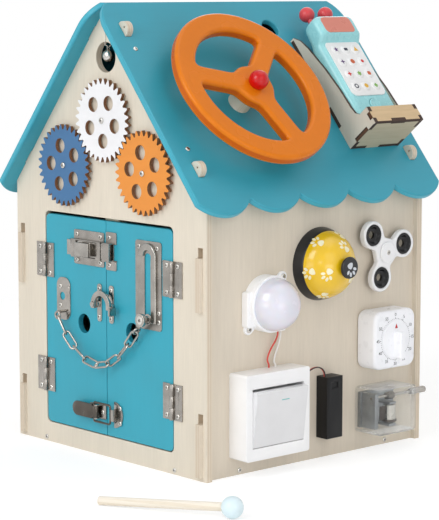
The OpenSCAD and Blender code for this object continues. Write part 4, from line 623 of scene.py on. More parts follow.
def new_recipe(name, **kinds):
    """A node tree for a shape, its inputs given by name and kind."""
    tree = bpy.data.node_groups.new(name, "GeometryNodeTree")
    for label, kind in kinds.items():
        tree.interface.new_socket(label.replace("_", " "), in_out="INPUT", socket_type="NodeSocket" + kind)
    tree.interface.new_socket("Shape", in_out="OUTPUT", socket_type="NodeSocketGeometry")
    return tree, tree.nodes.new("NodeGroupInput").outputs, tree.nodes.new("NodeGroupOutput").inputs[0]


def shaped(tree, kind, **inputs):
    """The result of one geometry node."""
    named = {label.replace("_", " "): value for label, value in inputs.items()}
    return wire_up(tree, "GeometryNode" + kind, named).outputs[0]


def copies_recipe():
    """A node tree that sets copies of one piece at points, each with its own turn and size."""
    tree, given, result = new_recipe("placed_copies", Points="Geometry", Piece="Object", Scale="Float",
        Finish="Material")
    piece = wire_up(tree, "GeometryNodeObjectInfo", {"Object": given["Piece"]}).outputs["Geometry"]
    turn, size = (wire_up(tree, "GeometryNodeInputNamedAttribute", {"Name": label}, data_type="FLOAT_VECTOR").outputs[0]
        for label in ("turn", "size"))
    scaled = wire_up(tree, "ShaderNodeVectorMath", {0: size, "Scale": given["Scale"]}, operation="SCALE").outputs[0]
    rotation = wire_up(tree, "FunctionNodeEulerToRotation", {"Euler": turn}).outputs[0]
    copies = shaped(tree, "InstanceOnPoints", Points=given["Points"], Instance=piece, Rotation=rotation, Scale=scaled)
    solid = shaped(tree, "RealizeInstances", Geometry=copies)
    tree.links.new(shaped(tree, "SetMaterial", Geometry=solid, Material=given["Finish"]), result)
    return tree


copies_tree = copies_recipe()


def made_by(tree, name, points, values, body, node=None):
    """Runs a node tree on a set of points and keeps its result as one plain mesh on a body.
    A point is its place as a matrix and its size along the piece's own axes."""
    seeds = bpy.data.meshes.new(name)
    seeds.from_pydata([place.to_translation() for place, size in points], [], [])
    for label, vectors in (("turn", [place.to_euler()[:] for place, size in points]),
            ("size", [size for place, size in points])):
        channel = seeds.attributes.new(label, "FLOAT_VECTOR", "POINT")
        channel.data.foreach_set("vector", [number for vector in vectors for number in vector])
    made = bpy.data.objects.new(name, seeds)
    bpy.context.collection.objects.link(made)
    recipe = made.modifiers.new("recipe", "NODES")
    recipe.node_group = tree
    for item in tree.interface.items_tree:
        if item.in_out == "INPUT" and item.name in values:
            recipe[item.identifier] = values[item.name]
    bpy.context.view_layer.update()
    whole = bpy.data.meshes.new_from_object(made.evaluated_get(bpy.context.evaluated_depsgraph_get()))
    made.modifiers.remove(recipe)
    made.data = whole
    whole.name = name
    whole.shade_smooth()
    whole.set_sharp_from_angle(angle=math.radians(40))
    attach(made, body)
    if node:
        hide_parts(node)
    return made


def set_copies(name, piece, spots, material, body, node=None, scale=1.0):
    """Copies of a piece at spots, as one mesh in one material."""
    return made_by(copies_tree, name, spots, {"Piece": piece, "Scale": scale, "Finish": material}, body, node)


def pattern_piece(name, shape):
    """A shape in metres that a recipe copies; it is removed again after its last copy."""
    bmesh.ops.recalc_face_normals(shape, faces=shape.faces)
    mesh = bpy.data.meshes.new(name)
    shape.to_mesh(mesh)
    shape.free()
    piece = bpy.data.objects.new(name, mesh)
    bpy.context.collection.objects.link(piece)
    return piece


def turned(profile, steps=48, scale=1.0):
    """A shape turned about its own axis from (radius, height) pairs, closed at both ends."""
    shape = bmesh.new()
    rings = []
    for radius, height in profile:
        if radius < 1e-6:
            rings.append([shape.verts.new((0, 0, height * scale))])
        else:
            rings.append([shape.verts.new((x * scale, y * scale, height * scale))
                for x, y in circle(0, 0, radius, steps)])
    for a, b in zip(rings, rings[1:]):
        for i in range(steps):
            j = (i + 1) % steps
            corners = [a[i % len(a)], a[j % len(a)], b[j % len(b)], b[i % len(b)]]
            corners = [vert for n, vert in enumerate(corners) if vert not in corners[:n]]
            if len(corners) > 2:
                shape.faces.new(corners)
    for ring, flip in ((rings[0], True), (rings[-1], False)):
        if len(ring) > 1:
            shape.faces.new(ring[::-1] if flip else ring)
    return shape


def bridge(shape, rings, closed=False):
    """Faces from each ring of corners to the next, and from the last to the first when closed."""
    for a, b in zip(rings, rings[1:] + (rings[:1] if closed else [])):
        for i in range(len(a)):
            j = (i + 1) % len(a)
            shape.faces.new((a[i], a[j], b[j], b[i]))


def at(plane, x, y, out, spin=0.0, tilt=0.0):
    """A place on a face of the house, turned about the line out of the face."""
    axes = plane.to_3x3()
    turn = Matrix([axis.normalized() for axis in axes.col]).transposed().to_4x4()
    return Matrix.Translation(plane @ Vector((x, y, out))) @ turn @ turned_by(spin, "Z") @ turned_by(tilt, "X")


# Pan head of unit radius with a cross recess, cut once and copied to every screw
head = turned([(0, -0.04), (1.0, -0.04), (1.0, 0.12), (0.97, 0.22), (0.86, 0.34), (0.64, 0.43), (0.34, 0.46),
    (0, 0.46)], 24, 0.001)
pan_head = pattern_piece("pan_head", head)


def bar_end(shape, wide, tall, height):
    """Four corners of a cross's bar at a height, on a head of unit radius in millimetres."""
    return [shape.verts.new((x * wide / 1000, y * tall / 1000, height / 1000))
        for x, y in ((-1, -1), (1, -1), (1, 1), (-1, 1))]


bit, fill = bmesh.new(), bmesh.new()
for wide, tall in ((0.56, 0.15), (0.15, 0.56)):
    low, top = bar_end(bit, wide * 0.7, tall * 0.7, 0.16), bar_end(bit, wide, tall, 0.6)
    bit.faces.new(low[::-1])
    bit.faces.new(top)
    bridge(bit, [low, top])
# Thin dark crosses sit in each recess as painted shade.
for wide, tall in ((0.5, 0.12), (0.12, 0.5)):
    fill.faces.new(bar_end(fill, wide, tall, 0.24 + wide * 0.01))
cross_bit, cross_fill = pattern_piece("cross_bit", bit), pattern_piece("cross_fill", fill)
recess = pan_head.modifiers.new("recess", "BOOLEAN")
recess.object = cross_bit
recess.solver = "EXACT"
recess.use_self = True
bpy.context.view_layer.update()
pan_head.data = bpy.data.meshes.new_from_object(pan_head.evaluated_get(bpy.context.evaluated_depsgraph_get()))
pan_head.modifiers.clear()
bpy.data.objects.remove(cross_bit)

spins = random.Random(7)


def screw_points(plane, spots, out, radius=2.6, tall=2.6):
    """Places of screw heads on one face, each cross turned its own way."""
    return [(at(plane, x, y, out, spins.uniform(0, 90)), (radius, radius, tall)) for x, y in spots]


back_face = Matrix(((-0.001, 0, 0, 0), (0, 0, 0.001, house_half / 1000), (0, 0.001, 0, 0), (0, 0, 0, 1)))
left_wall_face = Matrix(((0, 0, -0.001, -wall_face / 1000), (-0.001, 0, 0, house_half / 1000), (0, 0.001, 0, 0),
    (0, 0, 0, 1)))
on_left_roof = Matrix(((0, slope[0], -slope[1], -eave[0] / 1000), (-0.001, 0, 0, house_half / 1000),
    (0, slope[1], slope[0], eave[1] / 1000), (0, 0, 0, 1)))
gear_centres = {"white": (0, 345.99), "blue": (-63.5, 297), "orange": (63.5, 297)}
spinner_middle = (243, 206.5)
lamp_middle = (81, 169)
ear_reach = (23.06, 24.3)
house_heads = screw_points(on_front, jamb_screws, 1.2)
for plane in (on_front, back_face):
    house_heads += screw_points(plane, [(-104, 4.5), (104, 4.5)], 0)
for plane in (on_wall, left_wall_face):
    house_heads += screw_points(plane, [(48, 4.5), (256, 4.5)], 0)
for plane in (on_roof, on_left_roof):
    house_heads += screw_points(plane, [(y, s) for y in tongue_ys for s in (57.8, 180.3)], 0)
house_heads += screw_points(on_front, gear_centres.values(), 6.3, 3.2, 3.6)
house_heads += screw_points(on_wall, [spinner_middle], 15.9, 2.6, 1.2)
ear_screws = [(lamp_middle[0] + i * ear_reach[0], lamp_middle[1] + i * ear_reach[1]) for i in (-1, 1)]
house_heads += screw_points(on_wall, ear_screws, 3, 3.2, 3.2)
left_screws = leaf_screws["left"] + bolt_screws + clasp_left_screws + anchor_screws + latch_screws
right_screws = leaf_screws["right"] + keeper_screws + clasp_right_screws + track_screws + strike_screws
heads_of = {
    "house": house_heads,
    "door_left": screw_points(on_front, left_screws, 1.2),
    "door_right": screw_points(on_front, right_screws, 1.2),
    "slider": screw_points(on_front, [slider_spot], 12.8, 4.2, 1.2),
}
for body, heads in heads_of.items():
    set_copies(body + "_screw_heads", pan_head, heads, screw_steel, body, "house_screws" if body == "house" else None)
    set_copies(body + "_screw_crosses", cross_fill, heads, recess_dark, body)
bpy.data.objects.remove(pan_head)
bpy.data.objects.remove(cross_fill)


def tube(route, radius, sides=12, closed=False):
    """A round wire along points, its ends capped or joined."""
    shape = bmesh.new()
    count = len(route)
    rings = []
    normal = None
    for i, point in enumerate(route):
        before = route[i - 1] if closed or i else route[0]
        after = route[(i + 1) % count] if closed or i < count - 1 else route[-1]
        along = (after - before).normalized()
        if normal is None:
            normal = along.orthogonal().normalized()
        normal = (normal - along * normal.dot(along)).normalized()
        other = along.cross(normal)
        rings.append([shape.verts.new(point + radius * (math.cos(2 * math.pi * k / sides) * normal
            + math.sin(2 * math.pi * k / sides) * other)) for k in range(sides)])
    bridge(shape, rings, closed)
    if not closed:
        shape.faces.new(rings[0][::-1])
        shape.faces.new(rings[-1])
    return shape


# Links bent from wire; every other one stands on its edge
link_half = (link_pitch + link_overlap) / 2 - link_r
stadium = [Vector((x / 1000, y / 1000, 0)) for x, y in arc(link_half, 0, link_r, -90, 90, 10)
    + arc(-link_half, 0, link_r, 90, 270, 10)]
wire_link = pattern_piece("wire_link", tube(stadium, link_wire_r / 1000, 10, True))
places = {"door_left": [], "chain_tail": []}
link_leans = (45, -45, 45, -45, -45, 45, -45, 45)
for n, turn in enumerate(link_turns, 1):
    middle = (link_joints[n - 1] + link_joints[n]) / 2
    places["door_left" if n < 6 else "chain_tail"].append(
        (at(on_front, middle.x, middle.y, 9, turn, link_leans[n - 1]), (1, 1, 1)))
for body, spots in places.items():
    set_copies(body + "_chain_links", wire_link, spots, bright_steel, body,
        "chain_left" if body == "door_left" else "chain_right")
bpy.data.objects.remove(wire_link)

# The anchor's post and ring
anchor_eye = link_joints[0] + (link_overlap / 2 - link_r) * heading(link_turns[0])
anchor_post = anchor_eye - link_r * heading(link_turns[0])
settle("anchor_post", turned([(0, 0.8), (1.6, 0.8), (1.6, 8.6), (1.2, 9), (0, 9)], 20), on_front
    @ moved(anchor_post.x, anchor_post.y), bright_steel, "door_left")
settle("anchor_ring", tube([Vector((anchor_eye.x + link_r * x, anchor_eye.y + link_r * y, 9))
    for x, y in circle(0, 0, 1, 28)], link_wire_r, 12, True), on_front, bright_steel, "door_left")

# The chain's end tab on the slider's stem and its eye, and the latch's loop bent from one wire
tab = moved(*slider_spot) @ turned_by(tab_turn + 180, "Z")
settle("chain_end_tab", board([arc(0, 0, 6, 25, 335, 30) + [(11.6, -2.5), (11.6, 2.5)], circle(0, 0, 3.55, 32)],
    8.4, 9.6, 0.25, 2), on_front @ tab, bright_steel, "chain_tail")
eye = link_joints[-1] + (link_r - link_overlap / 2) * heading(tab_turn)
settle("chain_end_eye", tube([Vector((x, y, 0)) for x, y in circle(0, 0, link_r, 28)], link_wire_r, 12, True),
    on_front @ moved(eye.x, eye.y, 9) @ turned_by(tab_turn, "Z")
    @ turned_by(90, "X"), bright_steel, "chain_tail")
loop_line = [(-16.5, -6), *arc(-14.9, -8.3, 1.6, 180, 270, 6), *arc(7, -6.9, 3, 270, 360, 8),
    *arc(7, 6.9, 3, 0, 90, 8), *arc(-14.9, 8.3, 1.6, 90, 180, 6), (-16.5, 6)]
settle("latch_wire_loop", tube([Vector((x, latch_z + y, 5.5)) for x, y in loop_line], 1.1, 14), on_front, lever_steel,
    "loop", "latch_loop")

# ---------------------------------------------------------------- Gears
# Three laser-cut plywood gears, painted on their faces and burnt brown on their cut edges. They turn
# on wood screws with a washer behind each.
def gear_recipe():
    """A node tree for one gear: straight-flanked teeth, a ring of round holes and an axle hole."""
    sizes = ("Root_radius", "Pitch_radius", "Tip_radius", "Root_width", "Pitch_width", "Tip_width", "Phase",
        "Hole_ring", "Hole_radius", "Hole_turn", "Axle_radius", "Thickness")
    tree, given, result = new_recipe("cut_gear", Start="Geometry", Teeth="Int", Holes="Int", Face="Material",
        Edge="Material", **dict.fromkeys(sizes, "Float"))

    def sum_of(kind, *numbers):
        return reckon(tree, kind, *numbers)

    def vector(**parts):
        return wire_up(tree, "ShaderNodeCombineXYZ", parts).outputs[0]

    def together(*shapes):
        join = wire_up(tree, "GeometryNodeJoinGeometry")
        for shape in shapes:
            tree.links.new(shape, join.inputs[0])
        return join.outputs[0]

    index = shaped(tree, "InputIndex")
    corner = sum_of("MODULO", index, 6.0)
    tooth = sum_of("FLOOR", sum_of("DIVIDE", index, 6.0))
    step = sum_of("MINIMUM", corner, sum_of("SUBTRACT", 5.0, corner))
    side = sum_of("SUBTRACT", sum_of("MULTIPLY", sum_of("GREATER_THAN", corner, 2.5), 2.0), 1.0)
    at_tip, at_root = sum_of("GREATER_THAN", step, 1.5), sum_of("LESS_THAN", step, 0.5)

    def by_step(measure):
        """The root's, pitch line's or tip's radius or width, as the point's step asks for."""
        root, pitch, tip = (given[place + measure] for place in ("Root ", "Pitch ", "Tip "))
        outer = wire_up(tree, "ShaderNodeMix", {"Factor": at_tip, "A": pitch, "B": tip}).outputs["Result"]
        return wire_up(tree, "ShaderNodeMix", {"Factor": at_root, "A": outer, "B": root}).outputs["Result"]

    reach = by_step("radius")
    aside = sum_of("MULTIPLY", by_step("width"), sum_of("MULTIPLY", side, 0.5))
    turn = sum_of("ADD", given["Phase"], sum_of("MULTIPLY", tooth, sum_of("DIVIDE", 2 * math.pi, given["Teeth"])))
    cosine, sine = sum_of("COSINE", turn), sum_of("SINE", turn)
    spot = vector(X=sum_of("SUBTRACT", sum_of("MULTIPLY", reach, cosine), sum_of("MULTIPLY", aside, sine)),
        Y=sum_of("ADD", sum_of("MULTIPLY", reach, sine), sum_of("MULTIPLY", aside, cosine)))
    points = shaped(tree, "MeshCircle", Vertices=sum_of("MULTIPLY", given["Teeth"], 6.0))
    rim = shaped(tree, "MeshToCurve", Mesh=shaped(tree, "SetPosition", Geometry=points, Position=spot))
    ring = shaped(tree, "MeshCircle", Vertices=given["Holes"], Radius=given["Hole ring"])
    spun = shaped(tree, "Transform", Geometry=ring, Rotation=vector(Z=given["Hole turn"]))
    hole = shaped(tree, "CurvePrimitiveCircle", Resolution=40, Radius=given["Hole radius"])
    holes = shaped(tree, "RealizeInstances", Geometry=shaped(tree, "InstanceOnPoints", Points=spun, Instance=hole))
    axle = shaped(tree, "CurvePrimitiveCircle", Resolution=24, Radius=given["Axle radius"])
    flat = shaped(tree, "FillCurve", Curve=together(rim, holes, axle))
    thick = wire_up(tree, "GeometryNodeExtrudeMesh", {"Mesh": flat, "Offset": vector(Z=1.0),
        "Offset Scale": given["Thickness"], "Individual": False}).outputs
    faced = shaped(tree, "SetMaterial", Geometry=thick["Mesh"], Material=given["Face"])
    edged = shaped(tree, "SetMaterial", Geometry=faced, Selection=thick["Side"], Material=given["Edge"])
    back = shaped(tree, "SetMaterial", Geometry=shaped(tree, "FlipFaces", Mesh=flat), Material=given["Face"])
    welded = shaped(tree, "MergeByDistance", Geometry=together(edged, back), Distance=1e-6)
    tree.links.new(shaped(tree, "RealizeInstances", Geometry=welded), result)
    return tree


gear_tree = gear_recipe()
burnt_edge = finish("burnt_gear_edge", birch_look, (168, 120, 80), 0.4, 0.0001, Dark=(92, 56, 34), Char=0.6,
    Layer=0.001, turn=(90, 0, 0))
gear_colors = {"white": (240, 240, 242), "blue": (66, 113, 158), "orange": (232, 146, 58)}
for name, phase, hole_turn in (("white", -37.65, -13), ("blue", 39.83, 33), ("orange", 147.98, 27.5)):
    gear_face = finish(f"gear_{name}_paint", paint_look, gear_colors[name], 0.25, 0.0001, Grain=(0.08, 1.0, 1.0),
        Gloss=0.5)
    x, z = gear_centres[name]
    body = {"white": "gear_a", "blue": "gear_b", "orange": "gear_c"}[name]
    gear = made_by(gear_tree, "cut_gear_" + name, [(Matrix.Identity(4), (1, 1, 1))], {"Teeth": 32,
        "Root radius": 0.03675, "Pitch radius": 0.04, "Tip radius": 0.0423, "Root width": 0.0056,
        "Pitch width": 0.0034, "Tip width": 0.0012, "Phase": math.radians(phase), "Holes": 5,
        "Hole ring": 0.0207, "Hole radius": 0.0075, "Hole turn": math.radians(hole_turn), "Axle radius": 0.00205,
        "Thickness": 0.004, "Face": gear_face, "Edge": burnt_edge}, body, "gear_" + name)
    gear.data.transform(at(on_front, x, z, 2))
for name, (x, z) in gear_centres.items():
    ring = turned([(6, 0.05), (6, 1.75), (5.7, 1.8), (2.1, 1.8)], 32)
    settle(f"gear_washer_{name}", ring, on_front @ moved(x, z), screw_steel, "house")

# ---------------------------------------------------------------- Jingle bell
# A small nickel jingle bell hangs in its hole on a loop of white elastic that passes round the wood.
bell_skin = [(0, -5.4), (1.6, -5.2), (3.1, -4.5), (4.4, -3.2), (5.2, -1.6), (5.35, -0.5), (5.5, -0.4), (5.5, 0.4),
    (5.35, 0.5), (5.2, 1.6), (4.4, 3.2), (3.1, 4.5), (1.6, 5.2), (0, 5.4)]
upright = Matrix(((1, 0, 0, 0), (0, 0, 1, 0), (0, 1, 0, 0), (0, 0, 0, 1)))
bell_hangs = on_front @ moved(0, 410.84, -3.5) @ upright
settle("jingle_bell_ball", turned(bell_skin, 36, 1.14), bell_hangs, screw_steel, "bell_on_loop", "jingle_bell")
# The slits are dark strips laid over the ball: painted shade for the openings.
painted_slit_shade = finish("bell_slit", plastic_look, (20, 20, 20), Gloss=0.6)
for turn in (0, 90):
    slit = bmesh.new()
    rows = []
    for i in range(13):
        lean = math.radians(-50 + 100 * i / 12)
        rows.append([slit.verts.new(Vector((math.sin(lean) * r, side * 0.45, -math.cos(lean) * r)))
            for side in (-1, 1) for r in (5.9, 6.28)])
    for a, b in zip(rows, rows[1:]):
        for i, j in ((0, 1), (1, 3), (3, 2), (2, 0)):
            slit.faces.new((a[i], a[j], b[j], b[i]))
    slit.faces.new((rows[0][0], rows[0][1], rows[0][3], rows[0][2]))
    slit.faces.new((rows[-1][2], rows[-1][3], rows[-1][1], rows[-1][0]))
    settle(f"jingle_bell_slit_{turn}", slit, bell_hangs @ turned_by(turn + 45, "Z"), painted_slit_shade,
        "bell_on_loop")
eye_wire = tube([Vector((*spot, 0)) for spot in circle(0, 0, 1.5, 20)], 0.45, 10, True)
settle("jingle_bell_eye", eye_wire, on_front @ moved(0, 418.1, -3.5)
    @ turned_by(90, "Y"), bright_steel, "bell_on_loop")
elastic = finish("elastic_cover", plastic_look, (236, 232, 224), 0.4, Gloss=0.7, Peel=2.0)
loop = smooth_route([Vector(p) for p in ((0, 419.04, -3.5), (0, 420.5, -1.4), (0, 422.04, 0.7), (0, 422.8, 0.9),
    (0, 428, 0.9), (0, 433.2, 0.9), (0, 433.9, 0.7), (0, 434.04, 0.2), (0, 434.04, -3.5), (0, 434.04, -7.2),
    (0, 433.9, -7.7), (0, 433.2, -7.9), (0, 428, -7.9), (0, 422.8, -7.9), (0, 422.04, -7.7), (0, 420.5, -5.6),
    (0, 419.04, -3.5))], 3)
settle("jingle_bell_elastic", tube(loop[:-1], 0.4, 10, True), on_front, elastic, "bell_on_loop")

# ---------------------------------------------------------------- Steering wheel
# Sawn from thick board, its edges routed round and sprayed orange. It turns on a bare turned boss,
# and a red lacquered ball is glued on its hub.
def softened(loop, spacing, rounds):
    """An outline stepped evenly and relaxed, so that its inner corners become fillets."""
    lengths = [math.dist(a, b) for a, b in zip(loop, loop[1:] + loop[:1])]
    count = max(24, round(sum(lengths) / spacing))
    points, walked, n = [], 0.0, 0
    for i in range(count):
        goal = sum(lengths) * i / count
        while walked + lengths[n] < goal:
            walked += lengths[n]
            n += 1
        a, b = loop[n], loop[(n + 1) % len(loop)]
        share = (goal - walked) / lengths[n]
        points.append((a[0] + (b[0] - a[0]) * share, a[1] + (b[1] - a[1]) * share))
    for _ in range(rounds):
        points = [tuple(p * 0.5 + (a + b) / 2 * 0.5 for a, p, b in zip(before, point, after))
            for before, point, after in zip([points[-1], *points[:-1]], points, [*points[1:], points[0]])]
    return points


wheel_orange = finish("orange_wheel_paint", paint_look, (224, 122, 14), 0.15, 0.0001, Grain=(1.0, 1.0, 1.0), Gloss=0.24,
    Specular_IOR_Level=0.22)
# The straight cut sides, round the rim and in the windows, get a deeper orange: painted shade.
wheel_side_painted_shade = finish("orange_wheel_inner_paint", paint_look, (206, 96, 8), 0.15, 0.0001, Grain=(1.0, 1.0, 1.0),
    Gloss=0.26, Specular_IOR_Level=0.22)
wheel_place = on_roof @ moved(99.5, 108.3)
rim_r, hub_r, half_spoke = 68.2, 24, 10.75
windows = []
for turn in (46, 166, 286):
    outer, inner = (math.degrees(math.asin(half_spoke / r)) for r in (rim_r, hub_r))
    window = arc(0, 0, rim_r, turn + outer, turn + 120 - outer, 40)
    window += arc(0, 0, hub_r, turn + 120 - inner, turn + inner, 14)
    windows.append(softened(window, 1.4, 18))
settle("wheel_rim_and_spokes", board([circle(0, 0, 91.2, 128), *windows, circle(0, 0, 3.05, 24)], 19.7, 32.7, 4, 6),
    wheel_place, (wheel_orange, wheel_side_painted_shade), "wheel", "steering_wheel", 60)
ball_lacquer = finish("red_ball_lacquer", plastic_look, (202, 4, 10), 0.05, Gloss=0.2, Peel=0.3, Coat_Weight=0.2,
    Coat_Roughness=0.05, Specular_IOR_Level=0.3)
ball_skin = [(0, 32.72), *arc(0, 38.7, 10, -36.7, 90, 22)[:-1], (0, 48.7)]
settle("wheel_hub_ball", turned(ball_skin), wheel_place, ball_lacquer, "wheel", "wheel_ball", 40)
boss_birch = finish("turned_birch", birch_look, (228, 218, 200), 0.2, 0.0001, Dark=(196, 176, 146), Char=0.1,
    Layer=0.0009, turn=(90, 0, 0))
settle("wheel_turned_boss", turned([(0, -6.9), (3, -6.9), (3, 0), (12, 0), (12, 18.7), (11.2, 19.5), (3, 19.5), (3, 31),
    (0, 31.2)], 48), wheel_place, boss_birch, "house", "wheel_boss")

# ---------------------------------------------------------------- Phone and its holder
# The holder is 3 mm laser-cut plywood with burnt finger joints. The toy phone is moulded in mint
# plastic with a coral window, two coral balls and a soft white membrane of keys.
charred = {"bump": 0.3, "bump_depth": 0.0001, "Dark": (58, 34, 22), "Char": 0.9, "Layer": 0.0014}
holder_birch = finish("holder_birch", birch_look, (214, 204, 188), turn=(90, 0, 0), **charred)
# The floor board's birch is set darker for the shade it lies in behind the phone: painted shade.
holder_floor = finish("holder_floor_birch", birch_look, (186, 174, 148), turn=(0, 39.6, 0), Figure=1.6, **charred)
holder_lip = finish("holder_lip_birch", birch_look, (212, 184, 144), turn=(0, -50.4, 0), Figure=2.0, **charred)
char_wood = finish("holder_char", birch_look, (92, 58, 36), 0.4, 0.0001, Dark=(44, 26, 18), Char=0.9, turn=(90, 0, 0))
rise = [(1, 0.12), (0.94, 0.25), (0.85, 0.34), (0.62, 0.475), (0.41, 0.555), (0.235, 0.585), (0.175, 0.62)]
cheek_line = [(43.7, 0), (70, 0), (70, 3), (95, 3), (95, 0), (150, 0), (150, 3), (183, 3), (183, 0), (184.7, 0),
    *[(43.7 + 141 * along, 46 * up) for along, up in rise], (63.7, 0.72 * 46), (63.7, 45.95), (57.7, 46), (57.7, 43),
    (49.7, 43), (49.7, 46), (43.7, 46), (43.7, 33.12), (46.7, 33.12), (46.7, 11.96), (43.7, 11.96)]
across_roof = on_roof @ Matrix(((0, 0, 1, 0), (1, 0, 0, 0), (0, 1, 0, 0), (0, 0, 0, 1)))
for name, low in (("near", 218.5), ("far", 287.5)):
    settle(f"holder_cheek_{name}", board([cheek_line], low, low + 3, 0.1, 1), across_roof, (holder_birch, char_wood),
        "house", "holder_cheeks", 30)
    for n, (start, end) in enumerate(((70, 95), (150, 183)), 1):
        finger = board([[(start, 0.03), (end, 0.03), (end, 3), (start, 3)]], low + 0.02, low + 2.98, 0.02, 1)
        settle(f"holder_finger_{name}_{n}", finger, across_roof, char_wood, "house")
floor_line = [(221.45, 0), (287.55, 0), (287.55, 11.96), (290.55, 11.96), (290.55, 33.12), (287.55, 33.12),
    (287.55, 43), (265, 43), (265, 45.9), (244, 45.9), (244, 43), (221.45, 43), (221.45, 33.12), (218.45, 33.12),
    (218.45, 11.96), (221.45, 11.96)]
up_floor = on_roof @ Matrix(((1, 0, 0, 0), (0, 0, 1, 43.7), (0, 1, 0, 0), (0, 0, 0, 1)))
settle("holder_floor", board([floor_line], 0.05, 3, 0.1, 1), up_floor, (holder_floor, char_wood), "house",
    "holder_boards", 30)
lip_line = [(221.45, 43.8), (243.9, 43.8), (243.9, 46.8), (265.1, 46.8), (265.1, 43.8), (287.55, 43.8), (287.55, 49.7),
    (290.55, 49.7), (290.55, 57.7), (287.55, 57.7), (287.55, 63.7), (221.45, 63.7), (221.45, 57.7), (218.45, 57.7),
    (218.45, 49.7), (221.45, 49.7)]
settle("holder_lip", board([lip_line], 43, 45.95, 0.1, 1), on_roof, (holder_lip, char_wood), "house",
    sharp=30)
settle("holder_back_strip", board([round_rect(254.5, 100.9, 66, 108.2, 0.3, 2)], 0.02, 3, 0.1, 1), on_roof,
    (holder_lip, char_wood), "house", sharp=30)

burn_mark = finish("laser_burn", plastic_look, (58, 36, 24), 0.1, Gloss=0.7)
burnt_marks = (
    (across_roof, 157, 218.48, 219, [(43.7, 11.96, 48.2, 33.12), (49.7, 41.4, 57.7, 45.95), (70, 0.1, 95, 4.4),
        (150, 0.1, 183, 4.4)]),
    (up_floor, 161, 0.01, 0.4, [(218.5, 0.1, 223, 11.9), (286, 0.1, 290.5, 11.9), (221.5, 0.1, 240, 4.2),
        (259, 0.1, 287.5, 4.2), (218.5, 33.2, 223, 43), (286, 33.2, 290.5, 43), (244, 41.8, 265, 45.9),
        (223, 43.4, 244, 45.9), (265, 43.4, 286, 45.9)]),
    (on_roof, 170, 45.6, 45.99, [(218.5, 43.8, 223, 49.6), (286, 43.8, 290.5, 49.6), (218.5, 57.8, 223, 63.6),
        (286, 57.8, 290.5, 63.6), (244, 43.75, 265, 48), (223, 43.75, 244, 45), (265, 43.75, 286, 45)]),
)
for plane, first, bottom, top, marks in burnt_marks:
    for n, (left, low, right, high) in enumerate(marks):
        mark = board([[(left, low), (right, low), (right, high), (left, high)]], bottom, top, 0.02, 1)
        settle(f"holder_burn_{first + n}_{n + 1}", mark, plane, burn_mark, "house")
phone_mint = finish("mint_phone_plastic", plastic_look, (156, 220, 225), 0.02, Gloss=0.26, Peel=0.3)
coral = finish("coral_window", plastic_look, (216, 130, 112), 0.06, Gloss=0.3)
coral_ball = finish("coral_ball_plastic", plastic_look, (218, 66, 72), 0.06, Gloss=0.3)
membrane = finish("white_key_membrane", plastic_look, (240, 240, 240), 0.12, Gloss=0.5, Peel=1.5)
# A darker mint for the ring round the button: painted shade in its groove.
groove_painted_shade = finish("mint_groove", plastic_look, (84, 140, 146), 0.06, Gloss=0.5)


def between(stops, value):
    """A height read off a line of (place, height) stops."""
    for (a, low), (b, high) in zip(stops, stops[1:]):
        if value <= b:
            return low + (high - low) * (value - a) / (b - a)
    return stops[-1][1]


def drawn_in(gap, radius):
    """How far a rounded end lies inside its flat side at a distance from the end."""
    return radius - math.sqrt(radius ** 2 - (radius - gap) ** 2) if gap < radius else 0.0


phone_y, phone_from, phone_to = 254.5, 47, 190
keys_s, button_s = 125, 77.5
ends = [0, 0.25, 0.9, 1.9, 3.2, 4.8, 6.6, 9]
stations = [*(phone_from + d for d in ends), *range(62, 150, 8), 150, 155, 157, 158.5, 160, 161.5, 163, 164.5, 166, 168,
    171, 175, 180, *(phone_to - d for d in reversed(ends))]
handset = bmesh.new()
sections = []
for s in stations:
    gap = min(s - phone_from, phone_to - s)
    step = min(1, max(0, (s - 157) / 10))
    half = 31 - 1.8 * step - drawn_in(gap, 9)
    low = between([(47, 3.6), (125.65, 3.6), (166, 11.6), (182, 13.1), (190, 15)], s) + drawn_in(gap, 5.5)
    high = 28.95 + 9.4 * (3 * step ** 2 - 2 * step ** 3) - drawn_in(gap, 5.5 if s > 120 else 3)
    soft = min(6.5, 0.45 * (high - low))
    deep = min(9.5, 0.5 * (high - low))
    ring = arc(half - soft, high - soft, soft, 0, 90, 7) + arc(soft - half, high - soft, soft, 90, 180, 7)
    ring += arc(deep - half, low + deep, deep, 180, 270, 7) + arc(half - deep, low + deep, deep, 270, 360, 7)
    sections.append([handset.verts.new((phone_y + y, s, h)) for y, h in ring])
bridge(handset, sections)
handset.faces.new(sections[0])
handset.faces.new(sections[-1][::-1])
settle("phone_handset", handset, on_roof, phone_mint, "phone", "phone_shell", 60, weigh=False)
for y in (240.8, 268.2):
    ball = turned([(0, 0), (3, 0), (3, 8.3), *arc(0, 16, 8.25, -68.7, 90, 20)[:-1], (0, 24.25)], 40)
    settle(f"phone_ball_{y:.0f}", ball, on_roof @ moved(y, 189, 19)
        @ Matrix.Rotation(-math.pi / 2, 4, "X"), coral_ball, "phone")
settle("phone_window", board([round_rect(254.0, 176.3, 43, 20, 5, 8)], 38.0, 38.6, 0.25, 2),
    on_roof, coral, "phone")
settle("phone_key_membrane", board([round_rect(phone_y, keys_s, 50, 71, 7, 8)], 28.6, 29.95, 0.35, 3), on_roof,
    membrane, "phone", "phone_keypad")
key_cap = pattern_piece("key_cap", turned([(0, -0.2), (5.9, -0.2), (5.9, 0), (5.5, 0.35), (4.8, 0.75), (3.6, 1.05),
    (2, 1.18), (0, 1.2)], 28, 0.001))
key_spots = [(phone_y + 14.5 * i, keys_s + 16 * j) for j in (1.5, 0.5, -0.5, -1.5) for i in (-1, 0, 1)]
set_copies("phone_keys", key_cap, [(at(on_roof, y, s, 29.93), (1, 1, 1)) for y, s in key_spots], membrane, "phone")
bpy.data.objects.remove(key_cap)


def star(points, outer, inner):
    return [((outer if i % 2 == 0 else inner) * math.sin(math.pi * i / points),
        (outer if i % 2 == 0 else inner) * math.cos(math.pi * i / points)) for i in range(2 * points)]


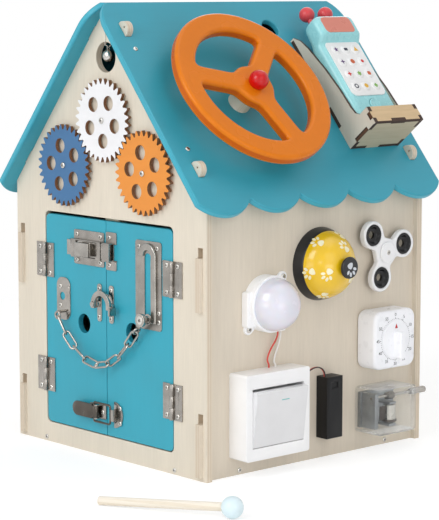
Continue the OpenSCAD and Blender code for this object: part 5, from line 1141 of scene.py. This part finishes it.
signs = {"plum": ((84, 52, 110), [star(5, 3.4, 1.5)], [star(4, 3.3, 1.3)]),
    "ink": ((40, 44, 62), [round_rect(0, 0, 5, 3.4, 0.6, 3)], [circle(0, 0, 2.9, 24), circle(0, 0, 1.6, 20)]),
    "amber": ((224, 176, 60), [[(-3, -2.4), (3, -2.4), (0, 3.2)]], [circle(0, 0, 2.7, 24)]),
    "rust": ((196, 92, 50), [circle(0, 0, 2.9, 24)], [round_rect(0, 0, 4.6, 4.6, 1.2, 4)]),
    "red": ((204, 52, 50), [circle(0, 0, 2, 20)], [star(4, 3.3, 1.6)]),
    "green": ((126, 176, 86), [star(6, 3.2, 2)], [[(-2.8, 0), (0, -3), (2.8, 0), (0, 3)]])}
order = [("plum", 0), ("ink", 0), ("amber", 0), ("plum", 1), ("rust", 0), ("red", 0), ("red", 1), ("green", 0),
    ("rust", 1), ("ink", 1), ("amber", 1), ("green", 1)]
for n, ((y, s), (color, which)) in enumerate(zip(key_spots, order), 1):
    label = "key_print_" + color
    ink = bpy.data.materials.get(label) or finish(label, plastic_look, signs[color][0], 0.05, Gloss=0.5)
    sign = board(signs[color][1 + which], 30.7, 31.19, 0.01, 1)
    settle(f"phone_key_print_{n}", sign, on_roof @ moved(y, s), ink, "phone")
# A dark ring round the button stands for the shade in its groove: painted shade.
settle("phone_button_groove", board([circle(phone_y, button_s, 8.2, 40)], 28.5, 29, 0.02, 1), on_roof,
    groove_painted_shade, "phone")
button_skin = [(0, 27.25), (7.4, 27.25), (7.4, 29.6), (7.2, 30.1), (6.7, 30.45), (6.2, 30.5), (5.6, 30.25),
    (4.4, 30.05), (0, 30)]
settle("phone_round_button", turned(button_skin), on_roof @ moved(phone_y, button_s), phone_mint,
    "phone_key", "phone_button", 35)

# ---------------------------------------------------------------- Push lamp
# A battery puck lamp: white moulded base with two screw ears, a frosted half-dome that snaps into it,
# and a gland below that lets the wires out.
lamp_white = finish("white_lamp_plastic", plastic_look, (248, 248, 250), 0.06, Gloss=0.32)
frosted = finish("frosted_dome_plastic", plastic_look, (222, 221, 232), 0.03, Gloss=0.22, Peel=0.3,
    Subsurface_Weight=0.25, Subsurface_Scale=0.01, Coat_Weight=0.6, Coat_Roughness=0.04)
lamp_place = on_wall @ moved(*lamp_middle)
base_skin = [(0, 0), (28.5, 0), (28.5, 9.5), (28.2, 10), (28.5, 10.5), (28.5, 13.6), (28.1, 14.2), (27.5, 14.5),
    (8, 14.5), (8, 17), (0, 17)]
settle("lamp_round_base", turned(base_skin, 72), lamp_place, lamp_white, "house", "lamp_base", 30)
for turn in (46.5, 226.5):
    ear = board([softened([(24, -6.5), (30, -5.8)] + arc(33.5, 0, 5.5, -90, 90, 10) + [(30, 5.8), (24, 6.5)], 0.8, 3)],
        0, 3, 0.5, 2)
    settle(f"lamp_ear_{turn:.0f}", ear, lamp_place @ turned_by(turn, "Z"), lamp_white, "house")
settle("lamp_side_block", board([round_rect(58.5, 165, 16, 36, 3)], 0, 9, 1, 3), on_wall, lamp_white,
    "house")
settle("lamp_gland", board([round_rect(96, 146, 12, 12, 2.5)], 2, 10, 1, 3), on_wall, lamp_white, "house")
dome_skin = [(0, 14.5), (25, 14.5), *arc(0, 14.5, 26.5, 0, 90, 22)[:-1], (0, 41)]
settle("lamp_frosted_dome", turned(dome_skin, 72), lamp_place, frosted, "house", "lamp_dome", 40)

# ---------------------------------------------------------------- Desk bell
# A call bell: black pressed base, a dome spun from steel and lacquered yellow with pale paw prints,
# and a black button on a plunger through its crown.
bell_middle = (157.5, 201.2)
bell_place = on_wall @ moved(*bell_middle)
bell_black = finish("black_bell_lacquer", plastic_look, (29, 29, 32), 0.06, Gloss=0.36)
bell_yellow = finish("yellow_bell_lacquer", plastic_look, (236, 192, 22), 0.04, Gloss=0.2, Peel=0.5, Coat_Weight=0.35,
    Coat_Roughness=0.06)
print_pale = finish("pale_bell_print", plastic_look, (244, 238, 204), 0.04, Gloss=0.3)
print_white = finish("white_button_print", plastic_look, (206, 210, 216), 0.04, Gloss=0.4)
settle("bell_black_base", turned([(0, 0), (37.4, 0), (37.4, 1.2), (37.0, 3), (35.6, 9), (34.9, 11.2), (34.4, 11.9),
    (33, 12), (3.2, 12), (3.2, 27), (0, 27)], 96), bell_place, bell_black, "house", "bell_base", 30)
bell_skin = [(0, 37.8), *arc(0, 2.2, 35.8, 84, 16.1, 26), (33.2, 12.1), (0, 12.1)]
settle("bell_spun_dome", turned(bell_skin, 96), bell_place, bell_yellow, "house", "bell_dome", 40)
settle("bell_button_cap", turned([(0, 22), (2, 22), (2, 41), (9.8, 41.05), (10.7, 41.4), (11, 42.1), (11, 43.7),
    (10.6, 44.4), (9.7, 44.85), (0, 44.9)], 64), bell_place, bell_black, "bell_key", "bell_button", 30)


def paw(size):
    """Pad and four toes of a print, as outlines in millimetres."""
    pad = softened([(-1.9, -2.0), (-0.6, -2.5), (0.6, -2.5), (1.9, -2.0), (1.5, -0.3), (0, 0.9), (-1.5, -0.3)], 0.35, 3)
    toes = []
    for lean, reach in ((-52, 2.9), (-18, 3.5), (18, 3.5), (52, 2.9)):
        t = math.radians(lean)
        x, y = math.sin(t) * reach, math.cos(t) * reach - 0.3
        toes.append([(x + 0.72 * math.cos(a) * math.cos(t) + 1.15 * math.sin(a) * math.sin(t),
            y - 0.72 * math.cos(a) * math.sin(t) + 1.15 * math.sin(a) * math.cos(t))
            for a in [2 * math.pi * i / 16 for i in range(16)]])
    return [[(x * size, y * size) for x, y in loop] for loop in (pad, *toes)]


def paw_piece(name, bend):
    """The print as a thin piece, bent to lie on a dome when a bend is given."""
    shape = bmesh.new()
    for loop in paw(0.001):
        toe = board([loop], -0.00045, 0.0001 if bend == 0 else 0.0002, 0.00001, 1)
        part = bpy.data.meshes.new("toe")
        toe.to_mesh(part)
        toe.free()
        shape.from_mesh(part)
        bpy.data.meshes.remove(part)
    for vert in shape.verts:
        vert.co.z -= bend * (vert.co.x ** 2 + vert.co.y ** 2)
    return pattern_piece(name, shape)


dome_print, flat_print = paw_piece("dome_print", 2.0 / 0.0716), paw_piece("flat_print", 0)
paw_spots = []
for ring, (down, count, first) in enumerate(((62, 6, 8), (33, 3, 75))):
    for i in range(count):
        turn = turned_by(first + 360 * i / count, "Z")
        turn = turn @ turned_by(down, "Y")
        spot = bell_place @ moved(0, 0, 2.2) @ turn @ moved(0, 0, 35.8)
        axes = Matrix([axis.normalized() for axis in spot.to_3x3().col]).transposed().to_4x4()
        spin = turned_by(-90 + (ring * 40 + i * 67) % 60, "Z")
        paw_spots.append((Matrix.Translation(spot.translation) @ axes @ spin, (1, 1, 1)))
set_copies("bell_paw_prints", dome_print, paw_spots, print_pale, "house", scale=2.0)
set_copies("bell_button_print", flat_print, [(at(on_wall, *bell_middle, 44.77, 200), (1, 1, 1))], print_white,
    "bell_key", scale=2.1)
bpy.data.objects.remove(dome_print)
bpy.data.objects.remove(flat_print)

# ---------------------------------------------------------------- Hand spinner
# A three-lobed spinner moulded in glossy white plastic, with a black ring pressed into each lobe and
# a white cap over its middle bearing, screwed to the wall through a spacer.
spinner_white = finish("glossy_white_plastic", plastic_look, (240, 240, 242), 0.04, Gloss=0.16, Peel=0.4,
    Coat_Weight=0.4, Coat_Roughness=0.08)
ring_black = finish("black_ring_plastic", plastic_look, (14, 14, 17), 0.03, Gloss=0.16, Peel=0.3,
    Specular_IOR_Level=0.35)
spinner_place = on_wall @ moved(*spinner_middle)


arms = (15, 135, 255)
arm_r, lobe_r, half_waist = 27, 15, 9
arm_ends = arc(0, 0, arm_r, arms[0], arms[-1], len(arms) - 1)


def lobed(turn):
    """How far the spinner's outline lies from its middle in a direction."""
    reach = lobe_r
    for arm in arms:
        lean = math.radians((turn - arm + 180) % 360 - 180)
        if abs(lean) < math.pi / 2:
            if abs(arm_r * math.sin(lean)) < lobe_r:
                reach = max(reach, arm_r * math.cos(lean) + math.sqrt(lobe_r ** 2 - (arm_r * math.sin(lean)) ** 2))
            if abs(math.sin(lean)) > 1e-6:
                reach = max(reach, min(half_waist / abs(math.sin(lean)), arm_r / max(0.05, math.cos(lean))))
    return reach


lobes = softened([lobed(turn) * heading(turn) for turn in range(360)], 1.0, 14)
sockets = [circle(x, y, 11, 40) for x, y in arm_ends]
settle("spinner_lobes", board([lobes, *sockets, circle(0, 0, 4.05, 32)], 6, 13.5, 2.0, 4), spinner_place,
    spinner_white, "spinner", "spinner_rotor", 40)
ring_skin = [(4, 6.6), (11.05, 6.6), (11.05, 12.6), (10.6, 13.1), (9.6, 13.2), (8.6, 12.6), (7.6, 10.4), (6.2, 9.6),
    (5.2, 9.6), (4, 9.2)]
for n, (x, y) in enumerate(arm_ends, 1):
    end_place = spinner_place @ moved(x, y)
    ring = bmesh.new()
    rims = [[ring.verts.new((*spot, h)) for spot in circle(0, 0, r, 40)] for r, h in ring_skin]
    bridge(ring, rims, True)
    settle(f"spinner_ring_{n}", ring, end_place, ring_black, "spinner")
settle("spinner_cap", turned([(0, 0), (7, 0), (7, 5.8), (4, 5.8), (4, 13.7), (10.4, 13.7), (11, 14.2), (10.9, 15.2),
    (10.2, 15.8), (8.8, 15.9), (0, 15.9)], 64), spinner_place, spinner_white, "house", "spinner_hub",
    30)

# ---------------------------------------------------------------- Kitchen timer
# A clockwork timer in a soft-edged white case, printed with sixty ticks and their minutes, with a
# thin round knob, a tall grip bar and a red arrow on the knob.
timer_plastic = finish("white_timer_plastic", plastic_look, (249, 250, 254), 0.06, Gloss=0.3)
print_ink = finish("timer_print", plastic_look, (46, 46, 56), 0.04, Gloss=0.5)
print_red = finish("timer_arrow_print", plastic_look, (190, 36, 42), 0.04, Gloss=0.5)
timer_middle = (243, 117)
timer_place = on_wall @ moved(*timer_middle)
settle("timer_soft_case", board([round_rect(0, 0, 61, 61, 10, 10)], 0, 26.55, 3.6, 6), timer_place,
    timer_plastic, "house", "timer_case", 40)
timer_dot = pattern_piece("timer_dot", turned([(0, -0.5), (0.5, -0.5), (0.5, 0.5), (0, 0.5)], 10, 0.001))
tick_from, number_reach = 20.9, 25.7
dots = []
for minute in range(60):
    wide, tall = (0.8, 2.0) if minute % 5 == 0 else (0.75, 0.9)
    x, y = Vector(timer_middle) + (tick_from + tall / 2) * heading(90 - 6 * minute)
    dots.append((at(on_wall, x, y, 26.54, -6 * minute), (wide, tall, 0.1)))
set_copies("timer_ticks", timer_dot, dots, print_ink, "house")
bpy.data.objects.remove(timer_dot)
for minute in range(0, 60, 5):
    words = bpy.data.curves.new("timer_number", "FONT")
    words.body = str(minute)
    words.size = 4.8
    words.offset = 0.03
    words.align_x = words.align_y = "CENTER"
    words.extrude = 0.04
    words.resolution_u = 3
    drawn = bpy.data.objects.new("timer_number", words)
    bpy.context.collection.objects.link(drawn)
    bpy.context.view_layer.update()
    flat = bpy.data.meshes.new_from_object(drawn.evaluated_get(bpy.context.evaluated_depsgraph_get()))
    bpy.data.objects.remove(drawn)
    digits = bmesh.new()
    digits.from_mesh(flat)
    bpy.data.meshes.remove(flat)
    bmesh.ops.remove_doubles(digits, verts=digits.verts, dist=1e-4)
    x, y = number_reach * heading(90 - 6 * minute)
    settle(f"timer_number_{minute}", digits, timer_place @ moved(x, y, 26.56), print_ink, "house",
        weigh=False)
settle("timer_arrow", board([[(-2.1, 0), (2.1, 0), (0, 5)]], 27.9, 28.0, 0.01, 1),
    timer_place @ moved(0, 11.6), print_red, "timer_dial")
knob_skin = [(0, 17), (3, 17), (3, 26.75), (19.7, 26.8), (20, 27.1), (19.9, 27.6), (19.4, 27.9), (0, 27.94)]
settle("timer_round_knob", turned(knob_skin, 72), timer_place, timer_plastic, "timer_dial", "timer_knob",
    30)
settle("timer_grip_bar", board([round_rect(0, -5.8, 8, 28.4, 3, 8)], 27.0, 38, 1.6, 5), timer_place,
    timer_plastic, "timer_dial")

# ---------------------------------------------------------------- Music box
# A hand-cranked movement in a clear moulded case: zinc frame, steel comb, pinned cylinder on its
# spindle, and a crank shaft with a worm that comes out of the case's side.
clear_plastic = finish("clear_case_plastic", plastic_look, (250, 251, 252), 0.05, Gloss=0.05, Peel=0.4,
    Transmission_Weight=0.5, IOR=1.3)
tree = clear_plastic.node_tree
body = next(node for node in tree.nodes if node.type == "BSDF_PRINCIPLED")
end = next(node for node in tree.nodes if node.type == "OUTPUT_MATERIAL")
shadow = wire_up(tree, "ShaderNodeLightPath").outputs["Is Shadow Ray"]
rim = spread(tree, wire_up(tree, "ShaderNodeLayerWeight", {"Blend": 0.5}).outputs["Facing"], 0.32, 0.9, 0.05, 0.85)
solid = reckon(tree, "MULTIPLY", rim, reckon(tree, "SUBTRACT", 1.0, shadow))
through = wire_up(tree, "ShaderNodeBsdfTransparent", {"Color": (0.985, 0.99, 0.99, 1)})
blend = wire_up(tree, "ShaderNodeMixShader", {0: solid, 1: through.outputs[0], 2: body.outputs[0]})
tree.links.new(blend.outputs[0], end.inputs["Surface"])
zinc = finish("cast_zinc", steel_look, (150, 153, 155), 0.3, 0.0001, Gloss=0.42, Lines=(1.0, 1.0, 1.0), Metallic=0.85)
comb_steel = finish("dark_comb_steel", steel_look, (74, 64, 56), 0.2, 0.00008, Gloss=0.34, Lines=(1.0, 0.05, 1.0),
    Metallic=1.0)
drum_steel = finish("drum_steel", steel_look, (196, 192, 184), 0.1, 0.00005, Gloss=0.24, Lines=(1.0, 1.0, 1.0),
    Metallic=1.0)
settled_copy("music_case", 0.9, clear_plastic, 3, 30)
settled_copy("music_movement", 0.3, zinc, 2, 35)
drum_place = on_wall @ Matrix(((1, 0, 0, 245.1), (0, 0, 1, 0), (0, 1, 0, 17), (0, 0, 0, 1)))
settle("music_drum", turned([(0, 24), (1.5, 24), (1.5, 30.8), (6.5, 31), (6.5, 46.3), (6.2, 46.5), (1.5, 46.5),
    (1.5, 49.5), (0, 49.5)], 48), drum_place, drum_steel, "drum", "music_cylinder", 30)
settle("music_drum_flange", turned([(1.4, 29), (8, 29), (8, 31), (1.4, 31)], 48), drum_place, comb_steel, "drum",
    sharp=30)
drum_pin = bmesh.new()
bmesh.ops.create_cone(drum_pin, cap_ends=True, segments=6, radius1=0.00016, radius2=0.00012, depth=0.0006)
pin_piece = pattern_piece("drum_pin", drum_pin)
tune = random.Random(11)
pins = []
for row in range(18):
    for _ in range(7):
        turn = heading(tune.randrange(0, 360, 6))
        place = drum_place @ moved(*(6.7 * turn), 31.8 + 0.8 * row)
        outward = (drum_place.to_3x3() @ turn.to_3d()).normalized()
        pins.append((Matrix.Translation(place.translation) @ outward.to_track_quat("Z", "Y").to_matrix().to_4x4(),
            (1, 1, 1)))
set_copies("music_drum_pins", pin_piece, pins, bright_steel, "drum")
tooth = bmesh.new()
bmesh.ops.create_cube(tooth, size=0.001)
comb_tooth = pattern_piece("comb_tooth", tooth)
set_copies("music_comb_teeth", comb_tooth, [(at(on_wall, 233.6, 31.6 + 0.83 * i, 18.3), (8.6, 0.62, 0.5))
    for i in range(18)], comb_steel, "house")
bpy.data.objects.remove(pin_piece)
bpy.data.objects.remove(comb_tooth)
crank_place = on_wall @ Matrix(((0, 0, 1, 0), (1, 0, 0, 56), (0, 1, 0, 17), (0, 0, 0, 1)))
worm = [(0, 217.9), (1.6, 217.9), (1.6, 240.1)]
for i in range(9):
    worm += [(3.0, 240.2 + i * 1.08), (4.0, 240.5 + i * 1.08), (4.0, 240.75 + i * 1.08), (3.0, 241.05 + i * 1.08)]
worm += [(1.6, 250.1), (1.6, 276.25), (3.0, 276.3), (3.5, 276.8), (3.5, 278.5)]
for i in range(8):
    worm += [(3.15, 278.8 + 2.2 * i), (3.15, 279.6 + 2.2 * i), (3.5, 279.9 + 2.2 * i), (3.5, 280.8 + 2.2 * i)]
worm += [(3.5, 297.6), (3.1, 298.25), (0, 298.25)]
settle("music_crank_shaft", turned(worm, 32), crank_place, bright_steel, "crank", "music_crank", 30)

# ---------------------------------------------------------------- Light switch and battery box
# A surface-mounted wall switch in glossy white plastic with one large rocker, wired to a two-cell
# battery box in black plastic with a vent near its top.
switch_white = finish("white_switch_plastic", plastic_look, (246, 246, 247), 0.05, Gloss=0.2, Peel=0.5, Coat_Weight=0.3,
    Coat_Roughness=0.1)
rocker_white = finish("rocker_plastic", plastic_look, (226, 226, 228), 0.05, Gloss=0.2, Peel=0.5, Coat_Weight=0.3,
    Coat_Roughness=0.1)
mark_teal = finish("teal_switch_mark", plastic_look, (120, 190, 190), 0.04, Gloss=0.4)
battery_black = finish("black_battery_plastic", plastic_look, (16, 16, 18), 0.14, Gloss=0.42, Peel=1.6,
    Specular_IOR_Level=0.3)
settled_copy("switch_box", 1.0, switch_white, 4, 40)
settled_copy("switch_rocker", 0.9, rocker_white, 4, 40)
rocker_place = on_wall @ moved(77.2, 60, 20) @ turned_by(7, "X")
settle("rocker_mark", board([round_rect(4.5, 17.5, 10.5, 1.1, 0.5, 3)], 8.9, 9.04, 0.01, 1), rocker_place,
    mark_teal, "rocker")
settled_copy("battery_box", 1.4, battery_black, 3, 40)
settle("battery_lid_seam", board([round_rect(165.7, 54, 18.6, 60, 1, 3), round_rect(165.7, 54, 18.0, 59.4, 0.8, 3)],
    15.9, 16.0, 0.02, 1), on_wall, battery_black, "house")

# ---------------------------------------------------------------- Mallet
# A turned birch stick glued into a wooden ball dipped in pale blue lacquer, lying on the table.
mallet_tail = Vector((148, -283, 4.45))
ball_r = 10.5
mallet_head = Vector((267, -223, ball_r))
stick_birch = finish("mallet_stick_birch", birch_look, (244, 236, 222), 0.2, 0.0001, Dark=(214, 198, 172), Char=0.05,
    Layer=0.003, turn=(0, 0, 63.2))
ball_blue = finish("pale_blue_lacquer", plastic_look, (222, 240, 246), 0.05, Gloss=0.3, Peel=0.6)
reach = (mallet_head - mallet_tail).length
stick_place = Matrix.Scale(0.001, 4) @ Matrix.Translation(mallet_tail) \
    @ (mallet_head - mallet_tail).to_track_quat("Z", "Y").to_matrix().to_4x4()
settle("mallet_stick", turned([(0, 0), (3.7, 0), (4.25, 0.6), (4.25, reach - 4), (0, reach - 4)], 40), stick_place,
    stick_birch, "mallet_loose", "mallet", 30)
settle("mallet_ball", turned([(0, -ball_r), *arc(0, 0, ball_r, -90, 90, 36)[1:-1], (0, ball_r)], 56),
    stick_place @ moved(0, 0, reach), ball_blue, "mallet_loose", sharp=60)
